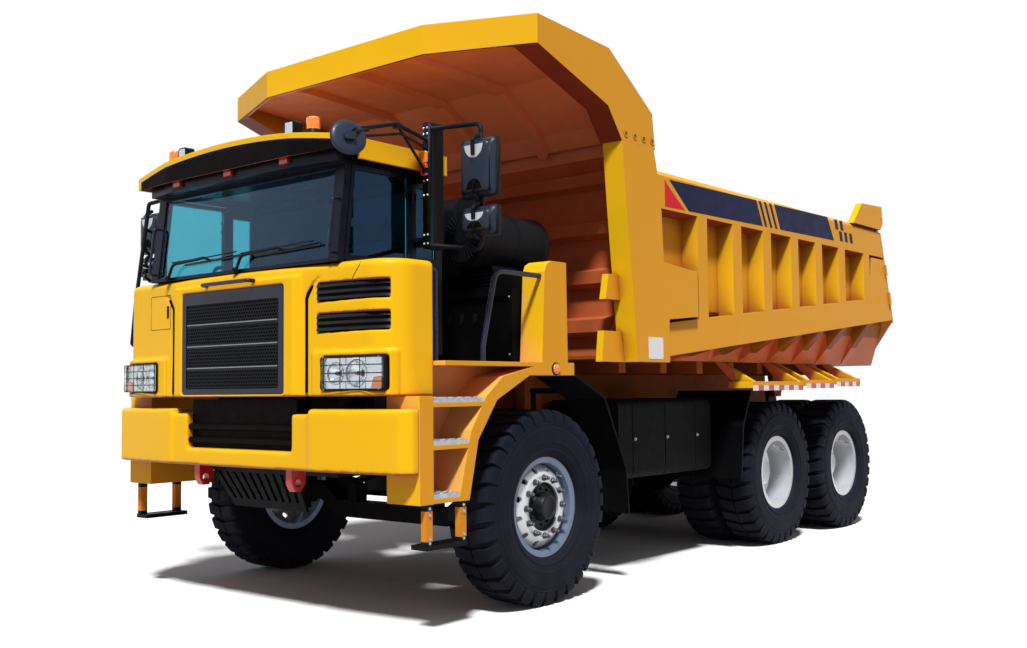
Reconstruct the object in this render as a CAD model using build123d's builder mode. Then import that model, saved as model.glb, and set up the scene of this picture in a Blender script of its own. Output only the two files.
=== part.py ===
"""Six-wheeled mining dump truck: chassis, cab, wheels, steering and tipping body.

Lengths are millimetres. Forward is -Y, the truck's left is +X and the ground is Z = 0.
Lengthwise places are measured from the front axle; save() moves each finished piece so
that Y = 0 is the middle of the truck. Outlines are lists of (Y, Z), (X, Z) or (X, Y) points.
"""
import os

from build123d import *

# ---- Clearances -------------------------------------------------------------------------
running_gap = 0.05
seat_gap = 0.3
knuckle_gap = 0.5
door_gap = 7
gate_gap = 5

# ---- Wheels -----------------------------------------------------------------------------
tyre_diameter = 1370
tyre_width = 375
tread_depth = 26
lug_count = 32
lug_length = 94
rim_seat_radius = 317.5
rim_flange_radius = 355.5
rim_width = 278
rim_wall = 14
flange_plate = 12
front_track = 2738
rear_track = 2538
dual_spacing = 430
middle_axle_y = 3803
rear_axle_y = 5377
front_hub_radius = 105
rear_hub_radius = 215
hand_hole_count = 12
hand_hole_radius = 22
hand_hole_circle = 222
spindle_radius = 45
rear_spindle_radius = 70

# ---- Steering ---------------------------------------------------------------------------
kingpin_x = 1060
kingpin_radius = 28
beam_bottom_z = 630
beam_top_z = 760
steering_arm_reach = 300
tie_rod_radius = 26
tie_rod_pin_radius = 16

# ---- Chassis ----------------------------------------------------------------------------
rail_inner_x = 395
rail_width = 85
rail_bottom_z = 1040
rail_top_z = 1340
rail_front_y = -1350
rail_rear_y = 5850
crossmember_width = 120
crossmember_places = (-1240, 1410, 2100, 2890, 4590, 5780)
cab_mount_places = (-1235, -720)
wing_bracket_places = (-520, 180)

# ---- Tipping body -----------------------------------------------------------------------
body_half_width = 1700
post_depth = 200
rail_inset = 40
wall_plate = 20
slope_foot = 34
floor_half_width = 1300
floor_bottom_z = 1750
floor_plate = 25
slope_top_z = 2175
body_rail_bottom_z = 2930
body_rail_top_z = 3260
joint_z = 3400
canopy_top_z = 4138
canopy_lip_height = 215
canopy_lip_y = -581
canopy_corner_y = -271
canopy_nose_half_width = 887
bulkhead_foot_y = 990
bulkhead_head_y = 1170
bulkhead_plate = 20
tail_top_y = 5950
tail_slope = 0.31
tip_pivot_y = 5600
tip_pivot_z = 1480
tip_pin_radius = 45
rib_places = (1930, 2540, 3120, 3700, 4250, 4820, 5480)
rib_width = 190
gate_pin_y = 5965
gate_pin_z = 3400
gate_pin_radius = 25

# ---- Hoist cylinders --------------------------------------------------------------------
hoist_x = 230
hoist_foot_y = 3000
hoist_foot_z = 1010
hoist_head_y = 4400
hoist_head_z = 1540
barrel_radius = 85
hoist_rod_radius = 40
hoist_pin_radius = 30
eye_radius = 65
eye_width = 84
lug_plate = 20

# ---- Cab --------------------------------------------------------------------------------
cab_half_width = 1050
cab_floor_z = 1760
cab_top_z = 3050
cab_front_y = -1440
cab_rear_y = -560
cab_wall = 45
windshield_foot_y = -1530
windshield_head_y = -1450
windshield_margin = 90
windshield_low_z = 2365
windshield_high_z = 2955
glass_thickness = 8
door_rear_y = -865
door_low_z = 1845
door_high_z = 2985
door_pillar = 60
door_frame = 32
hinge_heights = (2030, 2830)
hinge_reach = 14
hinge_pin_radius = 5
roof_overhang = 100
roof_front_y = -1640
roof_rear_y = -610
roof_edge_z = 3135
roof_crown_z = 3235
roof_bottom_z = 3000
driver_x = -420
passenger_x = 480

# ---- Front panel and bumper -------------------------------------------------------------
panel_half_width = 1500
panel_bottom_z = 1480
panel_top_z = 2340
panel_rear_y = -1120
panel_front_y = -1550
panel_wall = 40
deck_plate = 30
grille_half_width = 570
grille_bottom_z = 1500
grille_top_z = 2220
surround_width = 130
surround_proud = 28
lamp_inner_x = 930
lamp_outer_x = 1440
lamp_bottom_z = 1520
lamp_top_z = 1730
vent_inner_x = 850
vent_outer_x = 1430
vent_places = ((1890, 2010), (2090, 2210))
bumper_half_width = 1600
bumper_bottom_z = 995
bumper_top_z = 1400
bumper_front_y = -1560
bumper_centre_half_width = 760
notch_half_width = 585
notch_bottom_z = 1120

# ---- Steps, wings and what stands behind the cab ----------------------------------------
step_outer_x = 1600
step_inner_x = 1310
step_frame = 30
wing_bottom_z = 1670
wing_top_z = 1700
wing_rear_y = 240
air_cleaner_x = 1040
air_cleaner_z = 2610
air_cleaner_radius = 190
cabinet_top_z = 2230

# ---- Ends of the whole truck, from the mirrors to the rails' tail -----------------------
front_end_y = -1796.6
rear_end_y = 6484
middle_y = (front_end_y + rear_end_y) / 2

# ---- Sizes that follow from the ones above ----------------------------------------------
sides = {"left": 1, "right": -1}
tyre_radius = tyre_diameter / 2
axle_z = tyre_radius
half_tyre = tyre_width / 2
half_rim = rim_width / 2
tread_root = tyre_radius - tread_depth
barrel_inner = rim_seat_radius - rim_wall
front_wheel_x = front_track / 2
rear_outer_x = rear_track / 2
rear_inner_x = rear_outer_x - dual_spacing
dual_x = (rear_outer_x + rear_inner_x) / 2
rail_outer_x = rail_inner_x + rail_width
beam_x = (rail_inner_x + rail_outer_x) / 2
wall_inner_x = body_half_width - post_depth
wall_outer_x = wall_inner_x + wall_plate
side_outer_x = body_half_width - rail_inset
floor_top_z = floor_bottom_z + floor_plate
cab_ledge_z = panel_top_z + seat_gap
roof_half_width = cab_half_width + roof_overhang
hinge_x = cab_half_width + hinge_reach
hinge_y = door_rear_y + 6
bumper_rear_y = rail_front_y - seat_gap
door_step_z = panel_top_z + 12
door_step_y = panel_rear_y + 12


def save(piece, label):
    """Move a finished piece from the front axle to the truck's middle and write it."""
    placed = piece.moved(Location((0, -middle_y, 0)))
    placed.label = label
    export_step(placed, f"parts/{label}.step")


def outline_part(plane, outline, amount, mode):
    """Add or cut a straight-sided form whose outline is drawn on one plane."""
    with BuildSketch(plane) as profile:
        with BuildLine():
            Polyline(*outline, close=True)
        make_face()
    extrude(profile.sketch, amount=amount, mode=mode)


def side_slab(outline, x_limits, mode=Mode.ADD):
    """Form with a (Y, Z) outline between two X planes."""
    low, high = sorted(x_limits)
    outline_part(Plane.YZ.offset(low), outline, high - low, mode)


def plan_slab(outline, z_limits, mode=Mode.ADD):
    """Form with an (X, Y) outline between two heights."""
    low, high = sorted(z_limits)
    outline_part(Plane.XY.offset(low), outline, high - low, mode)


def front_slab(outline, y_limits, mode=Mode.ADD):
    """Form with an (X, Z) outline between two Y planes."""
    low, high = sorted(y_limits)
    outline_part(Plane.XZ.offset(-high), outline, high - low, mode)


def block(x, y, z, mode=Mode.ADD):
    """Block between two limits on each axis, given in either order."""
    limits = [sorted(pair) for pair in (x, y, z)]
    centre = [(low + high) / 2 for low, high in limits]
    size = [high - low for low, high in limits]
    with Locations(tuple(centre)):
        Box(*size, mode=mode)


def bar(start, end, radius, mode=Mode.ADD):
    """Round bar between two points."""
    run = Vector(*end) - Vector(*start)
    with BuildSketch(Plane(origin=start, z_dir=run)) as section:
        Circle(radius)
    extrude(section.sketch, amount=run.length, mode=mode)


def cross_pin(x_limits, y, z, radius, mode=Mode.ADD):
    """Round pin or bore that runs crosswise between two X planes."""
    low, high = sorted(x_limits)
    bar((low, y, z), (high, y, z), radius, mode)


def tube(points, bend, radius):
    """Bent round rail through the given points."""
    with BuildLine() as path:
        FilletPolyline(*points, radius=bend)
    with BuildSketch(Plane(origin=path.line @ 0, z_dir=path.line % 0)) as section:
        Circle(radius)
    sweep(section.sketch, path=path.line)


def ring(outline, x_centre, y, z, mode=Mode.ADD):
    """Turned form about a crosswise axis; the outline's columns are (X offset, radius)."""
    with BuildSketch(Plane(origin=(x_centre, y, z), x_dir=(1, 0, 0), z_dir=(0, -1, 0))) as half:
        with BuildLine():
            Polyline(*outline, close=True)
        make_face()
    revolve(half.sketch, axis=Axis((x_centre, y, z), (1, 0, 0)), mode=mode)


def around(centre, half):
    """Limits of a band about its centre."""
    return centre - half, centre + half


def on_side(sign, *places):
    """Crosswise places measured outward on one side of the truck."""
    return tuple(sign * place for place in places)


def line_at(z, foot, head):
    """Y of a slanted line at a height; foot and head are (Y, Z) points."""
    share = (z - foot[1]) / (head[1] - foot[1])
    return foot[0] + share * (head[0] - foot[0])


def tail_y(z):
    """Place of the body's leaning rear edge at a height."""
    return tail_top_y + tail_slope * (body_rail_top_z - z)


os.makedirs("parts", exist_ok=True)

# ---- Tyres ------------------------------------------------------------------------------
bead_radius = rim_seat_radius + seat_gap
bead_half = half_rim - flange_plate - seat_gap
# Half of the carcass section, from the bead to the tread: X from the outer face, radius.
sidewall = [(0, 470), (0, 540), (14, 615), (34, tread_root)]
carcass_outline = [(-bead_half, bead_radius), (-bead_half, rim_flange_radius + 4)]
carcass_outline += [(-half_tyre + inset, radius) for inset, radius in sidewall]
carcass_outline += [(half_tyre - inset, radius) for inset, radius in reversed(sidewall)]
carcass_outline += [(bead_half, rim_flange_radius + 4), (bead_half, bead_radius)]
# Half of a lug's section: X from the tyre's outer face, radius.
lug_flank = [(12, 580), (6, 612), (16, tyre_radius - 28), (36, tyre_radius)]
lug_outline = [(radius, -half_tyre + inset) for inset, radius in lug_flank]
lug_outline += [(radius, half_tyre - inset) for inset, radius in reversed(lug_flank)]

with BuildPart() as lug:
    with BuildSketch(Plane.XZ) as lug_face:
        with BuildLine():
            Polyline(*lug_outline, close=True)
        make_face()
    extrude(amount=lug_length / 2, both=True)

with BuildPart() as tyre:
    ring(carcass_outline, 0, 0, axle_z)
    with Locations(Plane(origin=(0, 0, axle_z), x_dir=(0, 0, -1), z_dir=(1, 0, 0))):
        with PolarLocations(0, lug_count):
            add(lug.part)

for side, sign in sides.items():
    with BuildPart() as front_tyre:
        with Locations((sign * front_wheel_x, 0, 0)):
            add(tyre.part)
    save(front_tyre.part, f"front_tyre_{side}")
    for axle, axle_y in (("middle", middle_axle_y), ("rear", rear_axle_y)):
        with BuildPart() as twin_tyres:
            with Locations((sign * rear_outer_x, axle_y, 0), (sign * rear_inner_x, axle_y, 0)):
                add(tyre.part)
        save(twin_tyres.part, f"{axle}_tyres_{side}")

# ---- Rims -------------------------------------------------------------------------------
# Half section of the rim's barrel and flanges: X offset, radius.
barrel_outline = [
    (-half_rim, barrel_inner), (-half_rim, rim_flange_radius),
    (-half_rim + flange_plate, rim_flange_radius), (-half_rim + flange_plate, rim_seat_radius),
    (half_rim - flange_plate, rim_seat_radius), (half_rim - flange_plate, rim_flange_radius),
    (half_rim, rim_flange_radius), (half_rim, barrel_inner),
]
# Disc and hub of the front wheel: X from the wheel centre (outward), radius.
front_disc = [
    (60, barrel_inner), (108, 250), (128, front_hub_radius + 60), (128, front_hub_radius),
    (172, front_hub_radius - 5), (185, 80), (185, 0), (165, 0),
    (165, spindle_radius + running_gap), (-120, spindle_radius + running_gap),
    (-120, front_hub_radius), (100, front_hub_radius), (84, 240), (36, barrel_inner),
]
# Dish between the twins' mounting face and each barrel: X outward, radius.
dish = [(0, rear_hub_radius), (24, rear_hub_radius), (120, barrel_inner), (96, barrel_inner)]
rear_hub = [
    (-150, rear_spindle_radius + running_gap), (-150, 180), (-60, rear_hub_radius),
    (60, rear_hub_radius), (62, 170), (150, 160), (215, 120), (215, 0), (190, 0),
    (190, rear_spindle_radius + running_gap),
]
for side, sign in sides.items():
    with BuildPart() as front_rim:
        ring(barrel_outline, sign * front_wheel_x, 0, axle_z)
        ring([(sign * x, radius) for x, radius in front_disc], sign * front_wheel_x, 0, axle_z)
        with Locations(Plane(origin=(sign * front_wheel_x, 0, axle_z), z_dir=(1, 0, 0))):
            with PolarLocations(hand_hole_circle, hand_hole_count):
                Cylinder(hand_hole_radius, tyre_width, mode=Mode.SUBTRACT)
    save(front_rim.part, f"front_rim_{side}")
    for axle, axle_y in (("middle", middle_axle_y), ("rear", rear_axle_y)):
        with BuildPart() as rims:
            for x in (rear_outer_x, rear_inner_x):
                ring(barrel_outline, sign * x, axle_y, axle_z)
            for facing in (1, -1):
                ring([(facing * x, radius) for x, radius in dish], sign * dual_x, axle_y, axle_z)
            ring([(sign * x, radius) for x, radius in rear_hub], sign * dual_x, axle_y, axle_z)
        save(rims.part, f"{axle}_rims_{side}")

# ---- Axles, knuckles and tie rod --------------------------------------------------------
king_z = (beam_bottom_z + beam_top_z) / 2
king_height = beam_top_z - beam_bottom_z
beam_half = kingpin_x - 45
drop_z = 620
drop_bottom_z = 490
# Right half of the drop beam: X, Z.
beam_edge = [
    (600, drop_z), (800, beam_top_z), (beam_half, beam_top_z), (beam_half, beam_bottom_z),
    (820, beam_bottom_z), (620, drop_bottom_z),
]
with BuildPart() as front_axle:
    front_slab(beam_edge + [(-x, z) for x, z in reversed(beam_edge)], (-70, 70))
    for sign in sides.values():
        with Locations((sign * kingpin_x, 0, king_z)):
            Cylinder(60, king_height)
            Cylinder(kingpin_radius, king_height + 200)
        block(around(sign * beam_x, 45), (-60, 60), (drop_z - 20, 761 - seat_gap))
save(front_axle.part, "front_axle")

arm_top_z = beam_bottom_z - knuckle_gap
arm_bottom_z = arm_top_z - 34
fork_plate = 50
for side, sign in sides.items():
    with BuildPart() as knuckle:
        for z in (arm_top_z - fork_plate, beam_top_z + knuckle_gap):
            block(on_side(sign, kingpin_x - 50, kingpin_x + 120), (-60, 60), (z, z + fork_plate))
        block(on_side(sign, kingpin_x + 70, kingpin_x + 120), (-75, 75),
              (arm_top_z - fork_plate, beam_top_z + knuckle_gap + fork_plate))
        with Locations((sign * kingpin_x, 0, king_z)):
            Cylinder(kingpin_radius + running_gap, king_height + 300, mode=Mode.SUBTRACT)
        bar((sign * (kingpin_x + 119), 0, axle_z), (sign * (front_wheel_x + 160), 0, axle_z),
            spindle_radius)
        block(around(sign * kingpin_x, 40), (50, steering_arm_reach + 30), (arm_bottom_z, arm_top_z))
        with Locations((sign * kingpin_x, steering_arm_reach, arm_top_z)):
            Cylinder(tie_rod_pin_radius, 80)
    save(knuckle.part, f"knuckle_{side}")

tie_rod_z = arm_top_z + knuckle_gap + 25
with BuildPart() as tie_rod:
    bar((-kingpin_x + 30, steering_arm_reach, tie_rod_z), (kingpin_x - 30, steering_arm_reach, tie_rod_z),
        tie_rod_radius - 2)
    for sign in sides.values():
        with Locations((sign * kingpin_x, steering_arm_reach, tie_rod_z)):
            Cylinder(38, 50)
            Cylinder(tie_rod_pin_radius + running_gap, 60, mode=Mode.SUBTRACT)
save(tie_rod.part, "tie_rod")

casing_radius = 115
bowl_radius = 250
nose_z = axle_z + 60
nose_reach = 340
with BuildPart() as drive_axles:
    for axle_y in (middle_axle_y, rear_axle_y):
        cross_pin((-dual_x + 160, dual_x - 160), axle_y, axle_z, casing_radius)
        cross_pin((-dual_x - 180, dual_x + 180), axle_y, axle_z, rear_spindle_radius)
        with Locations((0, axle_y, axle_z)):
            Sphere(bowl_radius)
        bar((0, axle_y - nose_reach, nose_z), (0, axle_y, nose_z), 90)
save(drive_axles.part, "drive_axles")

# ---- Chassis ----------------------------------------------------------------------------
hoist_lug = [
    (hoist_foot_y - 50, rail_bottom_z + 110), (hoist_foot_y - 50, hoist_foot_z - 50),
    (hoist_foot_y + 50, hoist_foot_z - 50), (hoist_foot_y + 50, hoist_foot_z + 50),
    (hoist_foot_y - 40, hoist_foot_z + 190),
]
pivot_bracket = [
    (tip_pivot_y - 110, rail_top_z), (tip_pivot_y - 60, tip_pivot_z + 80),
    (tip_pivot_y + 60, tip_pivot_z + 80), (tip_pivot_y + 110, rail_top_z),
]
with BuildPart() as chassis:
    for sign in sides.values():
        rail_x = on_side(sign, rail_inner_x, rail_outer_x)
        block(rail_x, (rail_front_y, rail_rear_y), (rail_bottom_z, rail_top_z))
        side_slab(pivot_bracket, rail_x)
        for y in cab_mount_places:
            block(rail_x, around(y, 45), (rail_top_z, cab_floor_z - seat_gap))
        for y in wing_bracket_places:
            block(on_side(sign, rail_outer_x - 10, 600), around(y, 35),
                  (rail_top_z - 90, wing_bottom_z - seat_gap))
        for x in around(sign * hoist_x, eye_width / 2 + 6 + lug_plate / 2):
            side_slab(hoist_lug, around(x, lug_plate / 2))
        cross_pin(around(sign * hoist_x, eye_width / 2 + 6 + lug_plate), hoist_foot_y, hoist_foot_z,
                  hoist_pin_radius)
    for y in crossmember_places:
        block((-rail_inner_x, rail_inner_x), around(y, crossmember_width / 2),
              (rail_bottom_z + 40, rail_top_z - 40))
    cross_pin((-rail_outer_x - 1, rail_outer_x + 1), tip_pivot_y, tip_pivot_z, tip_pin_radius + running_gap,
              mode=Mode.SUBTRACT)
save(chassis.part, "chassis_frame")

# ---- Springs, engine and driveline ------------------------------------------------------
leaf_end_y = 700
axle_pad_z = axle_z + casing_radius + 1
# Front leaf pack and rear balance beam: (Y, Z) along the upper edge, then the lower edge.
front_leaves = [(-leaf_end_y, 960), (0, 800), (leaf_end_y, 960), (leaf_end_y, 930), (0, 761),
                (-leaf_end_y, 930)]
balance_y = (middle_axle_y + rear_axle_y) / 2
balance_beam = [
    (middle_axle_y, 850), (balance_y, 950), (rear_axle_y, 850), (rear_axle_y, axle_pad_z),
    (balance_y, 830), (middle_axle_y, axle_pad_z),
]
with BuildPart() as suspension:
    for sign in sides.values():
        side_slab(front_leaves, around(sign * beam_x, 45))
        for y in (-leaf_end_y, leaf_end_y):
            block(around(sign * beam_x, 42), around(y, 40), (940, rail_bottom_z))
        side_slab(balance_beam, around(sign * beam_x, 50))
        block(around(sign * beam_x, 42), around(balance_y, 110), (930, rail_bottom_z))
save(suspension.part, "springs")

engine_rear_y = 560
gearbox_rear_y = 1350
with BuildPart() as engine:
    block((-340, 340), (-900, engine_rear_y), (900, 1640))
save(engine.part, "engine")

with BuildPart() as driveline:
    block((-260, 260), (engine_rear_y, gearbox_rear_y), (820, 1290))
    bar((0, gearbox_rear_y, 980), (0, middle_axle_y - nose_reach - 20, nose_z), 60)
    bar((0, middle_axle_y - nose_reach - 50, nose_z), (0, middle_axle_y - nose_reach, nose_z), 80)
    bar((0, middle_axle_y + bowl_radius, nose_z), (0, rear_axle_y - nose_reach, nose_z), 50)
save(driveline.part, "driveline")

# ---- Tipping body: floor and subframe ---------------------------------------------------
rail_gap_z = rail_top_z + seat_gap
bearer_places = (1300, 1930, 2540, 3120, 3700, 4950, 5340)
ear_inner_x = rail_outer_x + 10
ear_outer_x = ear_inner_x + 60
pivot_ear = [
    (tip_pivot_y - 160, floor_bottom_z), (tip_pivot_y - 75, tip_pivot_z - 75),
    (tip_pivot_y + 75, tip_pivot_z - 75), (tip_pivot_y + 200, floor_bottom_z),
]
hoist_ear = [
    (hoist_head_y - 130, floor_bottom_z), (hoist_head_y - 70, hoist_head_z - 60),
    (hoist_head_y + 70, hoist_head_z - 60), (hoist_head_y + 130, floor_bottom_z),
]
with BuildPart() as body_floor:
    side_slab([(bulkhead_foot_y, floor_bottom_z), (bulkhead_foot_y, floor_top_z),
               (tail_y(floor_top_z), floor_top_z), (tail_y(floor_bottom_z), floor_bottom_z)],
              (-floor_half_width, floor_half_width))
    for sign in sides.values():
        block(around(sign * beam_x, 45), (bulkhead_foot_y + 60, tip_pivot_y - 180),
              (rail_gap_z, floor_bottom_z))
        side_slab(pivot_ear, on_side(sign, ear_inner_x, ear_outer_x))
        cross_pin(on_side(sign, rail_inner_x - 15, ear_outer_x), tip_pivot_y, tip_pivot_z, tip_pin_radius)
        for x in around(sign * hoist_x, eye_width / 2 + 3 + lug_plate / 2):
            side_slab(hoist_ear, around(x, lug_plate / 2))
    for y in bearer_places:
        for x in ((-floor_half_width, -beam_x - 45), (-beam_x + 45, beam_x - 45),
                  (beam_x + 45, floor_half_width)):
            block(x, around(y, 50), (floor_bottom_z - 110, floor_bottom_z))
    cross_pin((-hoist_x - 200, hoist_x + 200), hoist_head_y, hoist_head_z, hoist_pin_radius + 1,
              mode=Mode.SUBTRACT)
save(body_floor.part, "body_floor")

# ---- Tipping body: sides ----------------------------------------------------------------
far_y = tail_y(floor_bottom_z) + 200
post_rear_y = 1390
band_foot = (1465, 1770)
band_head = (6070, 2240)
band_height = 270
hinge_ear = [
    (5185, body_rail_top_z), (5430, 3500), (gate_pin_y + 25, 3525), (gate_pin_y + 45, 3340),
    (gate_pin_y - 25, body_rail_top_z),
]
# Front post with the flush gusset behind it: Y, Z.
front_post = [
    (925, floor_bottom_z - 35), (800, 2900), (755, joint_z), (1200, joint_z), (1235, body_rail_top_z + 20),
    (1300, body_rail_bottom_z), (1325, 2515), (1726, 2482), (1850, 2480), (1850, 2100), (1395, 2060),
    (post_rear_y, floor_bottom_z - 35),
]
# Stepped brackets ahead of the post: top Y, bottom Y, top Z, bottom Z.
post_brackets = [(722, 678, 2385, 2190), (650, 620, 1950, floor_bottom_z - 35)]
# Drop latches on the rear corner: Y, Z.
latch_places = [(6180, 2500), (6095, 2830)]


def band_bottom(y):
    """Height of the lower band's underside along the body."""
    return band_foot[1] + (band_head[1] - band_foot[1]) * (y - band_foot[0]) / (band_head[0] - band_foot[0])


def band_top(y):
    """Height of the lower band's upper edge along the body."""
    return band_bottom(y) + band_height


def lower_rib(top_z):
    """Outline (X, Z) of a rib between the sloped plate and the band's outer edge."""
    foot_x = floor_half_width + slope_foot
    points = [(foot_x, floor_bottom_z), (side_outer_x, top_z)]
    if top_z < slope_top_z:
        share = (top_z - floor_bottom_z) / (slope_top_z - floor_bottom_z)
        points.append((foot_x + share * (wall_outer_x - foot_x), top_z))
    else:
        points += [(wall_outer_x, top_z), (wall_outer_x, slope_top_z)]
    return points


def on_side_points(sign, points):
    """Outline points mirrored to one side of the truck."""
    return [(sign * x, other) for x, other in points]


for side, sign in sides.items():
    wall_x = on_side(sign, wall_inner_x, wall_outer_x)
    trim_x = on_side(sign, wall_outer_x, side_outer_x)
    with BuildPart() as body_side:
        side_slab([(bulkhead_foot_y, slope_top_z), (bulkhead_foot_y, joint_z), (1200, joint_z),
                   (1250, body_rail_top_z), (far_y, body_rail_top_z), (far_y, slope_top_z)], wall_x)
        front_slab(on_side_points(sign, [
            (floor_half_width, floor_bottom_z), (floor_half_width, floor_top_z),
            (wall_inner_x, slope_top_z), (wall_outer_x, slope_top_z),
            (floor_half_width + slope_foot, floor_bottom_z)]), (bulkhead_foot_y, far_y))
        front_slab(on_side_points(sign, [
            (wall_outer_x, body_rail_bottom_z), (side_outer_x, body_rail_bottom_z + 25),
            (side_outer_x, body_rail_top_z - 35), (side_outer_x - 25, body_rail_top_z),
            (wall_outer_x, body_rail_top_z)]), (1230, far_y))
        side_slab(front_post, on_side(sign, wall_outer_x, body_half_width))
        for top_y, low_y, top_z, low_z in post_brackets:
            side_slab([(top_y, top_z), (low_y, low_z), (940, low_z), (880, top_z)],
                      on_side(sign, wall_outer_x, wall_outer_x + 60))
        side_slab([(post_rear_y, band_bottom(post_rear_y)), (post_rear_y, band_top(post_rear_y)),
                   (far_y, band_top(far_y)), (far_y, band_bottom(far_y))], trim_x)
        for y in rib_places:
            plan_slab([(sign * wall_outer_x, y - 30), (sign * side_outer_x, y),
                       (sign * side_outer_x, y + rib_width - 30), (sign * wall_outer_x, y + rib_width)],
                      (band_top(y) - 20, body_rail_bottom_z + 25))
            front_slab(on_side_points(sign, lower_rib(band_bottom(y + 120))), (y + 60, y + 180))
        # Rear corner plate, hinge ear and latches.
        side_slab([(5560, band_top(5560) - 30), (5700, body_rail_bottom_z), (far_y, body_rail_bottom_z),
                   (far_y, band_top(far_y) - 30)], trim_x)
        side_slab(hinge_ear, on_side(sign, side_outer_x - 50, side_outer_x + 20))
        for y, z in latch_places:
            block(on_side(sign, side_outer_x - 5, side_outer_x + 24), around(y, 26), around(z, 70))
        side_slab([(tail_y(body_rail_top_z), body_rail_top_z + 1), (tail_y(1600), 1600), (far_y + 50, 1600),
                   (far_y + 50, body_rail_top_z + 1)], on_side(sign, 0, body_half_width + 100),
                  mode=Mode.SUBTRACT)
        cross_pin(on_side(sign, wall_inner_x, side_outer_x + 60), gate_pin_y, gate_pin_z,
                  gate_pin_radius + running_gap, mode=Mode.SUBTRACT)
    save(body_side.part, f"body_side_{side}")

# ---- Tipping body: bulkhead and canopy --------------------------------------------------
with BuildPart() as bulkhead:
    side_slab([(bulkhead_foot_y, floor_top_z), (bulkhead_foot_y + bulkhead_plate, floor_top_z),
               (bulkhead_head_y + bulkhead_plate, joint_z), (bulkhead_head_y, joint_z)],
              (-wall_inner_x, wall_inner_x))
    for z in (2010, 2400, 2800, 3210):
        y = line_at(z, (bulkhead_foot_y, floor_top_z), (bulkhead_head_y, joint_z))
        side_slab([(y - 5, z - 80), (y - 95, z - 50), (y - 95, z + 50), (y + 7, z + 80)],
                  (-wall_inner_x, wall_inner_x))
    for sign in sides.values():
        front_slab(on_side_points(sign, [
            (floor_half_width, floor_top_z), (wall_inner_x, slope_top_z), (wall_inner_x + 50, slope_top_z),
            (wall_inner_x + 50, floor_top_z - 50), (floor_half_width, floor_top_z - 50)]),
            (bulkhead_foot_y - 200, bulkhead_head_y + 200), mode=Mode.SUBTRACT)
save(bulkhead.part, "body_bulkhead")


def canopy_z(share):
    """Height between the body joint, 0, and the canopy's top, 1."""
    return joint_z + share * (canopy_top_z - joint_z)


lip_bottom_z = canopy_top_z - canopy_lip_height
canopy_sheet = 26
lip_sheet = 40
canopy_profile = [
    (canopy_lip_y, lip_bottom_z), (canopy_lip_y, canopy_top_z), (599, canopy_z(0.92)),
    (1186, canopy_z(0.385)),
    (1221, joint_z), (755, joint_z), (574, canopy_z(0.32)), (-278, lip_bottom_z - 9),
]
canopy_inside = [
    (canopy_lip_y + lip_sheet, joint_z - 100), (canopy_lip_y + lip_sheet, canopy_top_z - canopy_sheet),
    (590, canopy_z(0.92) - canopy_sheet), (1160, canopy_z(0.385) - canopy_sheet + 10), (1190, joint_z),
    (1190, joint_z - 100),
]
ceiling_rib = [
    (-400, canopy_top_z - 16), (590, canopy_z(0.92) - 16), (1150, canopy_z(0.38)), (1040, canopy_z(0.32)),
    (560, canopy_z(0.76)), (-400, canopy_top_z - 128),
]
nose_x = canopy_nose_half_width
with BuildPart() as canopy_hollow:
    side_slab(canopy_inside, (-wall_inner_x, wall_inner_x))
    for sign in sides.values():
        corner_y = line_at(wall_inner_x, (canopy_lip_y, nose_x),
                           (canopy_corner_y, body_half_width)) + lip_sheet
        plan_slab([(sign * nose_x, canopy_lip_y + lip_sheet), (sign * wall_inner_x, corner_y),
                   (sign * wall_inner_x, canopy_lip_y - 60), (sign * nose_x, canopy_lip_y - 60)],
                  (joint_z - 200, canopy_top_z + 50), mode=Mode.SUBTRACT)
with BuildPart() as canopy:
    side_slab(canopy_profile, (-body_half_width, body_half_width))
    for sign in sides.values():
        plan_slab([(sign * nose_x, canopy_lip_y), (sign * body_half_width, canopy_corner_y),
                   (sign * (body_half_width + 50), canopy_corner_y),
                   (sign * (body_half_width + 50), canopy_lip_y - 60),
                   (sign * nose_x, canopy_lip_y - 60)], (joint_z - 200, canopy_top_z + 50),
                   mode=Mode.SUBTRACT)
    add(canopy_hollow.part, mode=Mode.SUBTRACT)
    for share in (-0.72, -0.36, 0, 0.36, 0.72):
        side_slab(ceiling_rib, around(share * wall_inner_x, 40))
    for y, z in ((-20, canopy_z(0.955)), (590, canopy_z(0.9))):
        block((-wall_inner_x, wall_inner_x), around(y, 45), (z - 110, z))
save(canopy.part, "body_canopy")

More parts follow.
